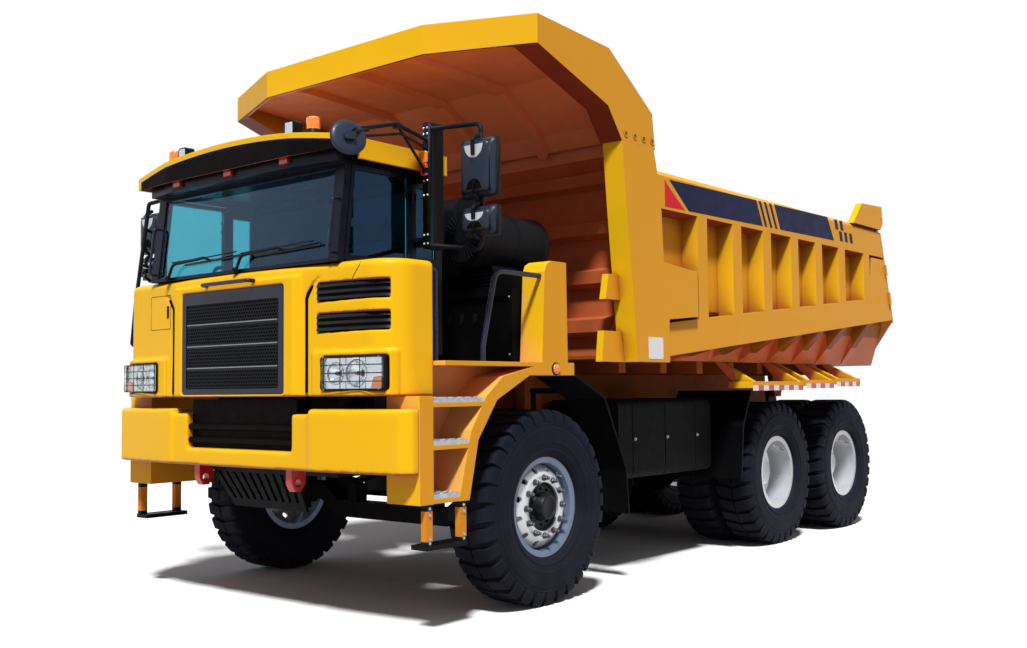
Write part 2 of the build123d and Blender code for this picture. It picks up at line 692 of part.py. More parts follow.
# ---- Tailgate ---------------------------------------------------------------------------
gate_plate = 25
gate_low_z = 1800
gate_high_z = body_rail_top_z - 30
gate_arm_x = (wall_inner_x + 30, side_outer_x - 60)
gate_rib_heights = (1860, 2300, 2750, 3180)
with BuildPart() as tailgate:
    front_y = [tail_y(z) + gate_gap for z in (gate_low_z, gate_high_z)]
    side_slab([(front_y[0], gate_low_z), (front_y[1], gate_high_z), (front_y[1] + gate_plate, gate_high_z),
               (front_y[0] + gate_plate, gate_low_z)], (-side_outer_x, side_outer_x))
    for sign in sides.values():
        front_slab(on_side_points(sign, [
            (floor_half_width - 10, gate_low_z - 100), (floor_half_width - 10, gate_low_z),
            (side_outer_x - 20, slope_top_z + 55), (side_outer_x + 90, slope_top_z + 55),
            (side_outer_x + 90, gate_low_z - 100)]), (tail_top_y - 150, far_y + 100), mode=Mode.SUBTRACT)
    for z in gate_rib_heights:
        y = tail_y(z) + gate_gap + gate_plate
        half = floor_half_width - 50 if z < slope_top_z else side_outer_x - 100
        side_slab([(y + 13, z - 40), (y - 13, z + 40), (y + 55, z + 40), (y + 70, z - 40)], (-half, half))
    for sign in sides.values():
        outer_y = tail_y(3000) + gate_gap + gate_plate
        side_slab([(gate_pin_y - 45, gate_pin_z + 45), (gate_pin_y + 70, gate_pin_z + 45),
                   (outer_y + 80, 3000),
                   (outer_y - 5, 3000), (tail_y(3220) + gate_gap + 20, 3220),
                   (gate_pin_y - 45, gate_pin_z - 40)],
                  on_side(sign, *gate_arm_x))
        cross_pin(on_side(sign, gate_arm_x[0], side_outer_x + 25), gate_pin_y, gate_pin_z, gate_pin_radius)
save(tailgate.part, "tailgate")

# Rock guards under the body's edge: front Y, rear Y, height of the underside.
guard_steps = [(2850, 3900, 1505), (3960, 4620, 1520), (4680, 5290, 1535)]
guard_x = (side_outer_x - 240, side_outer_x)
guard_height = 60
with BuildPart() as guards:
    for sign in sides.values():
        for y_low, y_high, z in guard_steps:
            block(on_side(sign, *guard_x), (y_low, y_high), (z, z + guard_height))
            for y in (y_low + 60, y_high - 60):
                front_slab(on_side_points(sign, [
                    (guard_x[0] + 20, z + guard_height), (guard_x[1] - 10, z + guard_height),
                    (floor_half_width + 30, floor_bottom_z - seat_gap),
                    (floor_half_width - 40, floor_bottom_z - seat_gap)]), around(y, 30))
save(guards.part, "body_guards")

# ---- Hoist cylinders --------------------------------------------------------------------
hoist_run = Vector(0, hoist_head_y - hoist_foot_y, hoist_head_z - hoist_foot_z)
hoist_dir = hoist_run.normalized()
barrel_start = 105
for side, sign in sides.items():
    foot = Vector(sign * hoist_x, hoist_foot_y, hoist_foot_z)
    head = Vector(sign * hoist_x, hoist_head_y, hoist_head_z)
    barrel_end = foot + hoist_dir * (hoist_run.length - 150)
    with BuildPart() as barrel:
        bar(foot + hoist_dir * barrel_start, barrel_end, barrel_radius)
        bar(foot, foot + hoist_dir * (barrel_start + 5), 35)
        cross_pin(around(foot.X, eye_width / 2), foot.Y, foot.Z, eye_radius)
        cross_pin(around(foot.X, eye_width), foot.Y, foot.Z, hoist_pin_radius + running_gap,
                  mode=Mode.SUBTRACT)
        bar(foot + hoist_dir * (barrel_start + 70), barrel_end + hoist_dir * 5,
            hoist_rod_radius + running_gap, mode=Mode.SUBTRACT)
    save(barrel.part, f"hoist_barrel_{side}")
    with BuildPart() as hoist_rod:
        bar(foot + hoist_dir * (barrel_start + 110), head - hoist_dir * (eye_radius - 12), hoist_rod_radius)
        cross_pin(around(head.X, eye_width / 2 - 6), head.Y, head.Z, eye_radius)
        cross_pin(around(head.X, eye_width), head.Y, head.Z, hoist_pin_radius + 1, mode=Mode.SUBTRACT)
    save(hoist_rod.part, f"hoist_rod_{side}")

# ---- Cab shell and glass ----------------------------------------------------------------
windshield_foot = (windshield_foot_y, cab_ledge_z)
windshield_head = (windshield_head_y, cab_top_z)
cab_outline = [
    (cab_front_y, cab_floor_z), (cab_front_y, cab_ledge_z), windshield_foot, windshield_head,
    (cab_rear_y, cab_top_z), (cab_rear_y, cab_floor_z),
]
cab_cavity = [
    (cab_front_y + cab_wall, cab_floor_z + cab_wall), (cab_front_y + cab_wall, cab_ledge_z + cab_wall),
    (windshield_foot_y + cab_wall, cab_ledge_z + cab_wall), (windshield_head_y + cab_wall,
                                                             cab_top_z - cab_wall),
    (cab_rear_y - cab_wall, cab_top_z - cab_wall), (cab_rear_y - cab_wall, cab_floor_z + cab_wall),
]
windshield_half = cab_half_width - windshield_margin
rear_window_x = cab_half_width - 350
rear_window_z = (2400, 2900)
quarter_window_y = (-815, -625)
quarter_window_z = (2420, 2905)
fascia_half = cab_half_width - 350
hinge_knuckle = 9
cab_side_x = (cab_half_width - cab_wall - 20, cab_half_width + 200)


def leaning_y(z):
    """Outer face of the windshield plane at a height."""
    return line_at(z, windshield_foot, windshield_head)


def door_outline(inset):
    """Stepped door outline (Y, Z): its lower part starts behind the front panel."""
    low, high, step = door_low_z + inset, door_high_z - inset, door_step_z + inset
    return [
        (door_step_y + inset, low), (door_step_y + inset, step),
        (leaning_y(step) + door_pillar + inset, step), (leaning_y(high) + door_pillar + inset, high),
        (door_rear_y - inset, high), (door_rear_y - inset, low),
    ]


def door_window(inset):
    """Window outline (Y, Z) in the door's upper part."""
    low, high = door_step_z + door_frame + 5 + inset, door_high_z - door_frame - inset
    front = door_pillar + door_frame + inset
    return [(leaning_y(low) + front, low), (leaning_y(high) + front, high),
            (door_rear_y - door_frame - inset, high), (door_rear_y - door_frame - inset, low)]


with BuildPart() as cab:
    side_slab(cab_outline, (-cab_half_width, cab_half_width))
    side_slab(cab_cavity, (-cab_half_width + cab_wall, cab_half_width - cab_wall), mode=Mode.SUBTRACT)
    block((-windshield_half, windshield_half), (windshield_foot_y - 100, cab_front_y + 60),
          (windshield_low_z, windshield_high_z), mode=Mode.SUBTRACT)
    block((-rear_window_x, rear_window_x), around(cab_rear_y, 100), rear_window_z, mode=Mode.SUBTRACT)
    # Fascia over the windshield.
    plan_slab([(-cab_half_width, cab_front_y), (-cab_half_width, windshield_foot_y), (-fascia_half, -1585),
               (fascia_half, -1585), (cab_half_width, windshield_foot_y), (cab_half_width, cab_front_y)],
              (2985, 3075))
    for sign in sides.values():
        side_slab(door_outline(-door_gap), on_side(sign, *cab_side_x), mode=Mode.SUBTRACT)
        block(on_side(sign, *cab_side_x), quarter_window_y, quarter_window_z, mode=Mode.SUBTRACT)
        for z in hinge_heights:
            block(on_side(sign, cab_half_width, hinge_x + hinge_knuckle), (hinge_y, hinge_y + 25),
                  around(z, 25))
            with Locations((sign * hinge_x, hinge_y, z)):
                Cylinder(hinge_knuckle, 50)
                Cylinder(hinge_pin_radius + running_gap, 60, mode=Mode.SUBTRACT)
save(cab.part, "cab_shell")

pane_depth = 12
with BuildPart() as cab_glass:
    low, high = windshield_low_z + seat_gap, windshield_high_z - seat_gap
    side_slab([(leaning_y(low) + pane_depth, low), (leaning_y(high) + pane_depth, high),
               (leaning_y(high) + pane_depth + glass_thickness, high),
               (leaning_y(low) + pane_depth + glass_thickness, low)],
              (-windshield_half + seat_gap, windshield_half - seat_gap))
    block((-rear_window_x + seat_gap, rear_window_x - seat_gap),
          (cab_rear_y - 30, cab_rear_y - 30 + glass_thickness),
          (rear_window_z[0] + seat_gap, rear_window_z[1] - seat_gap))
    for sign in sides.values():
        block(on_side(sign, cab_half_width - 26, cab_half_width - 26 + glass_thickness),
              (quarter_window_y[0] + seat_gap, quarter_window_y[1] - seat_gap),
              (quarter_window_z[0] + seat_gap, quarter_window_z[1] - seat_gap))
save(cab_glass.part, "cab_glass")

# ---- Doors ------------------------------------------------------------------------------
hinge_link = (25.5, 45)
# The outer skin overlaps the door's inner frame all round by a flange.
door_skin = 12
door_flange = 12
link_y = (door_rear_y - 30, hinge_y)
for side, sign in sides.items():
    with BuildPart() as door:
        side_slab(door_outline(0), on_side(sign, cab_half_width - door_skin, cab_half_width))
        side_slab(door_outline(door_flange), on_side(sign, cab_half_width - cab_wall,
                                                     cab_half_width - door_skin))
        side_slab(door_window(0), on_side(sign, *cab_side_x), mode=Mode.SUBTRACT)
        for z in hinge_heights:
            for end in (-1, 1):
                link_z = (z + end * hinge_link[0], z + end * hinge_link[1])
                block(on_side(sign, cab_half_width + 3, hinge_x), link_y, link_z)
                block(on_side(sign, cab_half_width - 5, hinge_x), (door_rear_y - 30, door_rear_y), link_z)
                with Locations((sign * hinge_x, hinge_y, sum(link_z) / 2)):
                    Cylinder(11, hinge_link[1] - hinge_link[0])
            with Locations((sign * hinge_x, hinge_y, z)):
                Cylinder(hinge_pin_radius, 2 * hinge_link[1] - 5)
        block(on_side(sign, cab_half_width, cab_half_width + 25), around(door_step_y + 70, 30),
              around(2245, 14))
    save(door.part, f"door_{side}")
    with BuildPart() as door_glass:
        side_slab(door_window(seat_gap),
                  on_side(sign, cab_half_width - 26, cab_half_width - 26 + glass_thickness))
    save(door_glass.part, f"door_glass_{side}")

# ---- Roof -------------------------------------------------------------------------------
def roof_section(raised):
    """Arched roof section (X, Z), raised by a clearance."""
    edge, crown = roof_edge_z + raised, roof_crown_z + raised
    with BuildSketch(Plane.XZ.offset(-roof_rear_y)) as section:
        with BuildLine():
            Polyline((-roof_half_width, edge), (-roof_half_width, roof_bottom_z),
                     (roof_half_width, roof_bottom_z),
                     (roof_half_width, edge))
            ThreePointArc((-roof_half_width, edge), (0, crown), (roof_half_width, edge))
        make_face()
    return section.sketch


visor_sheet = 25
roof_lap = cab_half_width + 5
with BuildPart() as roof:
    extrude(roof_section(0), amount=roof_rear_y - roof_front_y)
    # Hollow visor and side skirts outside the cab's walls.
    plan_slab([(-roof_half_width + visor_sheet, roof_front_y + visor_sheet + 40),
               (-700, roof_front_y + visor_sheet), (700, roof_front_y + visor_sheet),
               (roof_half_width - visor_sheet, roof_front_y + visor_sheet + 40),
               (roof_half_width - visor_sheet, roof_rear_y), (roof_lap, roof_rear_y),
               (roof_lap, cab_front_y - 5),
               (-roof_lap, cab_front_y - 5), (-roof_lap, roof_rear_y),
               (-roof_half_width + visor_sheet, roof_rear_y)],
              (roof_bottom_z - 10, roof_edge_z - 30), mode=Mode.SUBTRACT)
    block((-roof_lap, roof_lap), (cab_front_y - 5, roof_rear_y), (roof_bottom_z - 10, cab_top_z + seat_gap),
          mode=Mode.SUBTRACT)
    # The visor's front edge is cut up to a shallow brow.
    block((-roof_half_width - 10, roof_half_width + 10), (roof_front_y - 10, cab_front_y + 20),
          (roof_bottom_z - 10, cab_top_z), mode=Mode.SUBTRACT)
    plan_slab([(-cab_half_width - 10, cab_front_y + 5), (-cab_half_width - 10, windshield_foot_y - 10),
               (-fascia_half, -1595), (fascia_half, -1595), (cab_half_width + 10, windshield_foot_y - 10),
               (cab_half_width + 10, cab_front_y + 5)], (roof_bottom_z - 10, 3075 + seat_gap),
               mode=Mode.SUBTRACT)
    for sign in sides.values():
        plan_slab(on_side_points(sign, [
            (700, roof_front_y), (roof_half_width, roof_front_y + 60),
            (roof_half_width + 50, roof_front_y - 60),
            (700, roof_front_y - 60)]), (roof_bottom_z - 10, roof_crown_z + 50), mode=Mode.SUBTRACT)
save(roof.part, "cab_roof")

# ---- Cab interior -----------------------------------------------------------------------
seat_half = 230
seat_top_z = 2120
cab_sill_z = cab_floor_z + cab_wall + seat_gap
with BuildPart() as interior:
    for x in (driver_x, passenger_x):
        block(around(x, seat_half), (-1080, -760), (cab_sill_z, seat_top_z))
        side_slab([(-830, seat_top_z), (-760, seat_top_z), (-690, 2740), (-770, 2740)],
                  around(x, seat_half - 10))
    block((-cab_half_width + 150, cab_half_width - 150), (-1390, -1240), (cab_sill_z, 2330))
    bar((driver_x, -1250, 2200), (driver_x, -1180, 2330), 25)
    with Locations(Plane(origin=(driver_x, -1180, 2330), z_dir=(0, 0.47, 0.88))):
        Torus(200, 14)
        Box(400, 26, 14)
save(interior.part, "cab_interior")

# ---- Front panel, vents, grille and lamps -----------------------------------------------
panel_corner_x = panel_half_width - 250
panel_corner_y = panel_front_y + 55


def front_plan(inset, rear_y):
    """Bowed plan outline (X, Y) of the front panel, moved in by a wall thickness."""
    half = panel_half_width - inset
    corner = (panel_corner_x, panel_corner_y + inset)
    turn = (half - 65, panel_corner_y + inset + 65)
    flank = (half, panel_corner_y + inset + 205)
    with BuildSketch(Plane.XY.offset(panel_bottom_z)) as plan:
        with BuildLine():
            ThreePointArc((-corner[0], corner[1]), (0, panel_front_y + inset), corner)
            ThreePointArc(corner, turn, flank)
            Polyline(flank, (half, rear_y), (-half, rear_y), (-flank[0], flank[1]))
            ThreePointArc((-flank[0], flank[1]), (-turn[0], turn[1]), (-corner[0], corner[1]))
        make_face()
    return plan.sketch


surround_x = grille_half_width + surround_width
surround_y = panel_front_y - surround_proud
# Plan (X, Y) of the lamp band, which stands proud of the panel below the vents.
lamp_band = [
    (lamp_inner_x - 110, -1500), (lamp_inner_x - 110, -1552), (panel_corner_x, -1524),
    (lamp_outer_x + 15, -1458),
    (panel_half_width - 25, -1400), (panel_half_width - 50, -1380), (panel_corner_x, -1470),
]
groove_top_z = 2120
# Outline (X, Z) of the groove beside the grille's surround, which turns outward at its top.
groove = [
    (surround_x + 38, panel_bottom_z - 10), (surround_x + 38, groove_top_z), (800, 2215), (868, 2262),
    (886, 2246), (824, 2200), (surround_x + 64, groove_top_z - 8), (surround_x + 64, panel_bottom_z - 10),
]
with BuildPart() as panel:
    extrude(front_plan(0, panel_rear_y), amount=panel_top_z - panel_bottom_z)
    rim_edges = panel.edges().group_by(Axis.Z)[-1].sort_by(Axis.Y)[:-1]
    fillet(rim_edges, 45)
    extrude(front_plan(panel_wall, panel_rear_y + 10), amount=panel_top_z - panel_bottom_z - deck_plate,
            mode=Mode.SUBTRACT)
    plan_slab([(-surround_x - 30, panel_front_y + 30), (-surround_x + 35, surround_y),
               (surround_x - 35, surround_y),
               (surround_x + 30, panel_front_y + 30)], (panel_bottom_z, grille_top_z + 55))
    for sign in sides.values():
        plan_slab(on_side_points(sign, lamp_band), (panel_bottom_z, lamp_top_z + 35))
        front_slab(on_side_points(sign, groove), (surround_y - 40, panel_front_y + 34), mode=Mode.SUBTRACT)
        block(on_side(sign, lamp_inner_x, lamp_outer_x), (panel_front_y - 150, panel_rear_y - 180),
              (lamp_bottom_z, lamp_top_z), mode=Mode.SUBTRACT)
        block(on_side(sign, cab_half_width - 1, cab_half_width + 50), (door_step_y - 90, 0),
              (panel_bottom_z - 10, panel_top_z + 10), mode=Mode.SUBTRACT)
    for z_limits in vent_places:
        block((vent_inner_x, vent_outer_x), (panel_front_y - 150, panel_rear_y - 180), z_limits,
              mode=Mode.SUBTRACT)
    block((-cab_half_width - seat_gap, cab_half_width + seat_gap), (cab_front_y - 5, 0),
          (panel_bottom_z - 10, panel_top_z + 10), mode=Mode.SUBTRACT)
    block((-grille_half_width, grille_half_width), (panel_front_y - 150, panel_rear_y - 180),
          (grille_bottom_z, grille_top_z), mode=Mode.SUBTRACT)
save(panel.part, "front_panel")

with BuildPart() as headlights:
    for sign in sides.values():
        inner_x, outer_x = lamp_inner_x + seat_gap, lamp_outer_x - seat_gap
        plan_slab(on_side_points(sign, [(inner_x, -1556), (outer_x, -1496), (outer_x, -1380),
                                        (inner_x, -1420)]),
                  (lamp_bottom_z + seat_gap, lamp_top_z - seat_gap))
save(headlights.part, "headlights")

mesh_rows = 4
mesh_columns = 12
bar_radius = 22
# Plan (X, Y) of a vent's louvre block, bent round the panel's corner.
louvre_plan = [
    (vent_inner_x + seat_gap, -1522), (panel_corner_x, -1482), (1390, -1436),
    (vent_outer_x - seat_gap, -1404),
    (vent_outer_x - seat_gap, -1372), (1372, -1404), (panel_corner_x - 10, -1450),
    (vent_inner_x + seat_gap, -1490),
]
with BuildPart() as grille:
    half = grille_half_width - seat_gap
    mid_z = (grille_bottom_z + grille_top_z) / 2
    block((-half, half), (surround_y + 14, surround_y + 44), (grille_bottom_z + seat_gap,
                                                              grille_top_z - seat_gap))
    with Locations(Plane(origin=(0, surround_y + 29, mid_z - 25), z_dir=(0, -1, 0))):
        with GridLocations(88, 154, mesh_columns, mesh_rows):
            Box(72, 124, 36, mode=Mode.SUBTRACT)
    # Lower grille behind the bumper's notch: a back plate with two round bars.
    notch_x = notch_half_width - seat_gap
    block((-notch_x, notch_x), (-1470, -1450), (notch_bottom_z + seat_gap, panel_bottom_z - 15))
    for z in (notch_bottom_z + 55, notch_bottom_z + 150):
        cross_pin((-notch_x, notch_x), -1485, z, bar_radius)
    for z_limits in vent_places:
        low, high = z_limits[0] + seat_gap, z_limits[1] - seat_gap
        plan_slab(louvre_plan, (low, high))
        for z in (low + 4, (low + high) / 2, high - 4):
            plan_slab([(vent_inner_x - 5, -1600), (vent_outer_x + 40, -1600), (vent_outer_x + 40, -1385),
                       (panel_corner_x, -1466), (vent_inner_x - 5, -1506)], around(z, 9),
                       mode=Mode.SUBTRACT)
save(grille.part, "grille")

# ---- Bumper, skid grating and tow hooks -------------------------------------------------
bumper_corner = (bumper_half_width - 60, bumper_front_y + 90)
bumper_side = (bumper_half_width, bumper_front_y + 150)
with BuildPart() as bumper:
    with BuildSketch(Plane.XY.offset(bumper_bottom_z)):
        with BuildLine():
            ThreePointArc((-bumper_corner[0], bumper_corner[1]), (0, bumper_front_y), bumper_corner)
            Polyline(bumper_corner, bumper_side, (bumper_half_width, bumper_rear_y),
                     (-bumper_half_width, bumper_rear_y), (-bumper_side[0], bumper_side[1]),
                     (-bumper_corner[0], bumper_corner[1]))
        make_face()
    extrude(amount=bumper_top_z - bumper_bottom_z)
    fillet(bumper.edges().group_by(Axis.Z)[-1].sort_by(Axis.Y)[0], 20)
    for sign in sides.values():
        block(on_side(sign, bumper_centre_half_width + 20, bumper_half_width - 50),
              (bumper_rear_y - 80, bumper_rear_y + 10), (bumper_bottom_z + 40, bumper_top_z - 40),
              mode=Mode.SUBTRACT)
    # The middle stands back and lower than the ends, with a notch open at its top.
    plan_slab([(-bumper_centre_half_width - 30, bumper_front_y - 20),
               (-bumper_centre_half_width, bumper_front_y + 38),
               (0, bumper_front_y + 24), (bumper_centre_half_width, bumper_front_y + 38),
               (bumper_centre_half_width + 30, bumper_front_y - 20)],
              (bumper_bottom_z - 10, bumper_top_z + 10), mode=Mode.SUBTRACT)
    block((-bumper_centre_half_width, bumper_centre_half_width), (bumper_front_y - 20, bumper_rear_y + 10),
          (bumper_top_z - 35, bumper_top_z + 10), mode=Mode.SUBTRACT)
    block((-notch_half_width, notch_half_width), (bumper_front_y - 20, bumper_rear_y + 10),
          (notch_bottom_z, bumper_top_z + 10), mode=Mode.SUBTRACT)
save(bumper.part, "bumper")

skid_top_z = bumper_bottom_z - seat_gap
skid_slots = 10
slot_pitch = 84
with BuildPart() as skid:
    side_slab([(-1400, skid_top_z), (-1380, skid_top_z), (-1210, 690), (-1230, 690)], (-465, 465))
    for sign in sides.values():
        front_slab(on_side_points(sign, [(466, skid_top_z), (400, 680), (480, 680), (480, skid_top_z)]),
                   (-1450, -1150), mode=Mode.SUBTRACT)
    for column in range(skid_slots):
        x = slot_pitch * (column - (skid_slots - 1) / 2)
        front_slab([(x * 1.04 - 16, 950), (x * 1.04 + 16, 950), (x * 0.92 + 16, 750), (x * 0.92 - 16, 750)],
                   (-1450, -1150), mode=Mode.SUBTRACT)
save(skid.part, "skid_grating")

hook_x = 515
hook_eye_y = -1425
hook_eye_z = 905
hook_eye_radius = 26
hook_width = 60
with BuildPart() as tow_hooks:
    for sign in sides.values():
        side_slab([(-1480, 900), (-1450, 850), (-1400, 850), (-1360, 900), (-1360, skid_top_z),
                   (-1480, skid_top_z)], around(sign * hook_x, hook_width / 2))
        cross_pin(around(sign * hook_x, hook_width), hook_eye_y, hook_eye_z, hook_eye_radius,
                  mode=Mode.SUBTRACT)
save(tow_hooks.part, "tow_hooks")

# ---- Steps, wings and mudguards ---------------------------------------------------------
step_low_z = 810
step_front_y = -1350
post_rear = -1230
# Wheel arch: the edge over the tyre from the rear down to the step's foot, then the outer edge back.
arch_edge = [(wing_rear_y, 1610), (-270, 1610), (-620, 1445), (-810, 1190), (-900, step_low_z)]
arch_foot, arch_knee, arch_shoulder = (-1000, step_low_z), (-880, 1250), (-730, 1470)
arch_outer = [arch_foot, arch_knee, arch_shoulder, (-560, 1600), (-230, wing_bottom_z),
              (wing_rear_y, wing_bottom_z)]
upright_outline = [
    (-134, wing_top_z), (-95, 2340), (-70, 2395), (-20, 2420), (157, 2420), (165, wing_top_z),
]
# Treads: height of the top face, and the two corners of the arch's edge that the tread meets.
tread_places = ((870, arch_foot, arch_knee), (1200, arch_foot, arch_knee), (1465, arch_knee, arch_shoulder))
tread_thickness = 30
with BuildPart() as wings:
    for sign in sides.values():
        whole_x = on_side(sign, step_inner_x, step_outer_x)
        face_x = on_side(sign, step_outer_x - step_frame, step_outer_x)
        side_slab([(step_front_y, step_low_z), (step_front_y, panel_bottom_z - 2),
                   (post_rear, panel_bottom_z - 2),
                   (post_rear, step_low_z)], whole_x)
        side_slab([(post_rear, step_low_z), (post_rear, wing_bottom_z),
                   (wing_rear_y, wing_bottom_z)] + arch_edge,
                  on_side(sign, step_inner_x, step_inner_x + 20))
        side_slab(arch_edge + arch_outer, whole_x)
        for z, low, high in tread_places:
            block(face_x, (post_rear - 5, line_at(z, low, high) + 20),
                  (z - 58, z - tread_thickness - seat_gap))
        block(on_side(sign, cab_half_width + 60, step_outer_x), (panel_rear_y + 2, wing_rear_y),
              (wing_bottom_z, wing_top_z))
        block(on_side(sign, rail_outer_x + 20, cab_half_width + 60), (-600, wing_rear_y),
              (wing_bottom_z, wing_top_z))
        side_slab(upright_outline, on_side(sign, step_outer_x - 200, step_outer_x))
save(wings.part, "wings")

with BuildPart() as treads:
    for sign in sides.values():
        for z, low, high in tread_places:
            rear = line_at(z - tread_thickness, low, high) - seat_gap
            block(on_side(sign, step_inner_x + 20 + seat_gap, step_outer_x - 4),
                  (post_rear + seat_gap, rear),
                  (z - tread_thickness, z))
save(treads.part, "step_treads")

hanging_low_z = 530
with BuildPart() as hanging:
    for sign in sides.values():
        for y in (-1260, -950):
            block(on_side(sign, 1545, 1590), around(y, 28), (hanging_low_z + 30, step_low_z - seat_gap))
        block(on_side(sign, 1460, step_outer_x), (-1290, -920), (hanging_low_z, hanging_low_z + 30))
save(hanging.part, "hanging_steps")

guard_outer_x = panel_half_width
# Mudguard behind the front wheel, with its flap, and the flap ahead of the middle wheels: Y, Z.
front_guard = [
    (wing_rear_y + 3, 1670), (440, 1600), (770, 1450), (1050, 890), (1080, 540), (1065, 540), (1035, 880),
    (757, 1437), (433, 1585), (wing_rear_y + 3, 1655),
]
rear_flap = [(3180, 1480), (3010, 1150), (2960, 680), (2940, 680), (2990, 1155), (3160, 1485)]
with BuildPart() as mudguards:
    for sign in sides.values():
        side_slab(front_guard, on_side(sign, guard_outer_x - 370, guard_outer_x))
        side_slab(rear_flap, on_side(sign, 700, guard_outer_x - 20))
        cross_pin(on_side(sign, rail_outer_x + seat_gap, 710), 3000, 1160, 22)
        cross_pin(on_side(sign, rail_outer_x + seat_gap, 900), 640, 1250, 22)
        bar((sign * 900, 640, 1228), (sign * 900, 640, 1500), 22)
        cross_pin(on_side(sign, 880, guard_outer_x - 360), 640, 1500, 22)
save(mudguards.part, "mudguards")

# ---- Behind the cab and along the frame -------------------------------------------------
cabinet_inner_x = 620
cabinet_outer_x = step_outer_x - 212
cabinet_y = (-200, 380)
louvre_top_z = 2360
louvre_count = 4
with BuildPart() as cabinet:
    for sign in sides.values():
        block(on_side(sign, cabinet_inner_x, cabinet_outer_x), cabinet_y,
              (wing_top_z + seat_gap, cabinet_top_z))
        block(on_side(sign, cabinet_inner_x + 40, cabinet_outer_x - 40),
              (cabinet_y[0] - 5, cabinet_y[0] + 25),
              (wing_top_z + 50, cabinet_top_z - 50), mode=Mode.SUBTRACT)
        block(on_side(sign, cabinet_inner_x, cabinet_outer_x - 158), cabinet_y,
              (cabinet_top_z, louvre_top_z))
        for row in range(louvre_count):
            z = cabinet_top_z + 30 + 25 * row
            block(on_side(sign, cabinet_inner_x + 40, cabinet_outer_x - 200),
                  (cabinet_y[0] - 5, cabinet_y[0] + 12),
                  (z - 6, z + 6), mode=Mode.SUBTRACT)
save(cabinet.part, "equipment_cabinets")

barrel_front_y = -300
barrel_rear_y = 430
cap_fins = 32
with BuildPart() as air_cleaner:
    bar((air_cleaner_x, barrel_front_y, air_cleaner_z), (air_cleaner_x, barrel_rear_y, air_cleaner_z),
        air_cleaner_radius)
    bar((air_cleaner_x, barrel_front_y - 30, air_cleaner_z), (air_cleaner_x, barrel_front_y, air_cleaner_z),
        air_cleaner_radius - 10)
    for step in range(6):
        y = barrel_front_y + 40 + 128 * step
        bar((air_cleaner_x, y - 11, air_cleaner_z), (air_cleaner_x, y + 11, air_cleaner_z),
            air_cleaner_radius + 14)
    with Locations(Plane(origin=(air_cleaner_x, barrel_front_y - 34, air_cleaner_z), z_dir=(0, -1, 0))):
        with PolarLocations(115, cap_fins):
            Box(120, 6, 18)
        Cylinder(50, 24)
    block(around(air_cleaner_x, 80), (-100, 200), (louvre_top_z + seat_gap, air_cleaner_z - 150))
    with BuildSketch(Plane.YZ.offset(air_cleaner_x - 320)) as duct:
        with BuildLine():
            Polyline((-265, louvre_top_z + seat_gap), (-265, 2810))
            ThreePointArc((-265, 2810), (-225, 2905), (-130, 2945))
            Polyline((-130, 2945), (60, 2945), (60, louvre_top_z + seat_gap),
                     (-265, louvre_top_z + seat_gap))
        make_face()
    extrude(duct.sketch, amount=175)
save(air_cleaner.part, "air_cleaner")

tank_top_z = 1420
with BuildPart() as tanks:
    for sign in sides.values():
        block(on_side(sign, 560, 1280), (1260, 2750), (770, tank_top_z))
    fillet(tanks.edges().filter_by(Axis.Y), 70)
    for sign in sides.values():
        for y in (1500, 2500):
            block(on_side(sign, rail_outer_x + seat_gap, 570), around(y, 40),
                  (rail_bottom_z + 20, rail_top_z - 20))
save(tanks.part, "tanks")

with BuildPart() as radiator:
    block((-450, 450), (rail_front_y + 5, rail_front_y + 60), (rail_top_z + seat_gap, cab_floor_z - 10))
save(radiator.part, "radiator")

# ---- Rails and handles ------------------------------------------------------------------
handle_y = surround_y - 52
with BuildPart() as handrails:
    for sign in sides.values():
        x = sign * (step_outer_x - 40)
        tube([(x, -715, wing_top_z + seat_gap), (x, -715, 1800), (x, -580, 2310), (x, -107, 2310)], 90, 18)
        x = sign * (panel_half_width - 30)
        tube([(x, panel_rear_y + seat_gap, 2290), (x, -1065, 2290), (x, -1065, wing_top_z + seat_gap)], 30,
             12)
        # Grab handle on the windshield pillar.
        x = sign * (cab_half_width - 40)
        low, high = (leaning_y(z) - 2 for z in (2400, 2750))
        tube([(x, low, 2400), (x, low - 45, 2400), (x, high - 45, 2750), (x, high, 2750)], 20, 9)
    # Grab handle over the grille.
    handle_z = grille_top_z + 45
    tube([(-265, surround_y - seat_gap, handle_z), (-265, handle_y, handle_z), (265, handle_y, handle_z),
          (265, surround_y - seat_gap, handle_z)], 25, 14)
save(handrails.part, "handrails")

# ---- Mirrors ----------------------------------------------------------------------------
post_x = cab_half_width + 135
post_y = (-857, -714)
mirror_x = 1722
mirror_y = -900
# Head centres and heights shared by both sides.
big_head = (2935, 380)
small_head = (2590, 190)
head_half = 143


def mirror_head(x, y, z, height):
    """Mirror housing with a thinner rim, its glass side facing the rear."""
    block(around(x, head_half), around(y, 24), around(z, height / 2))
    block(around(x, head_half - 25), (y - 60, y), around(z, height / 2 - 25))


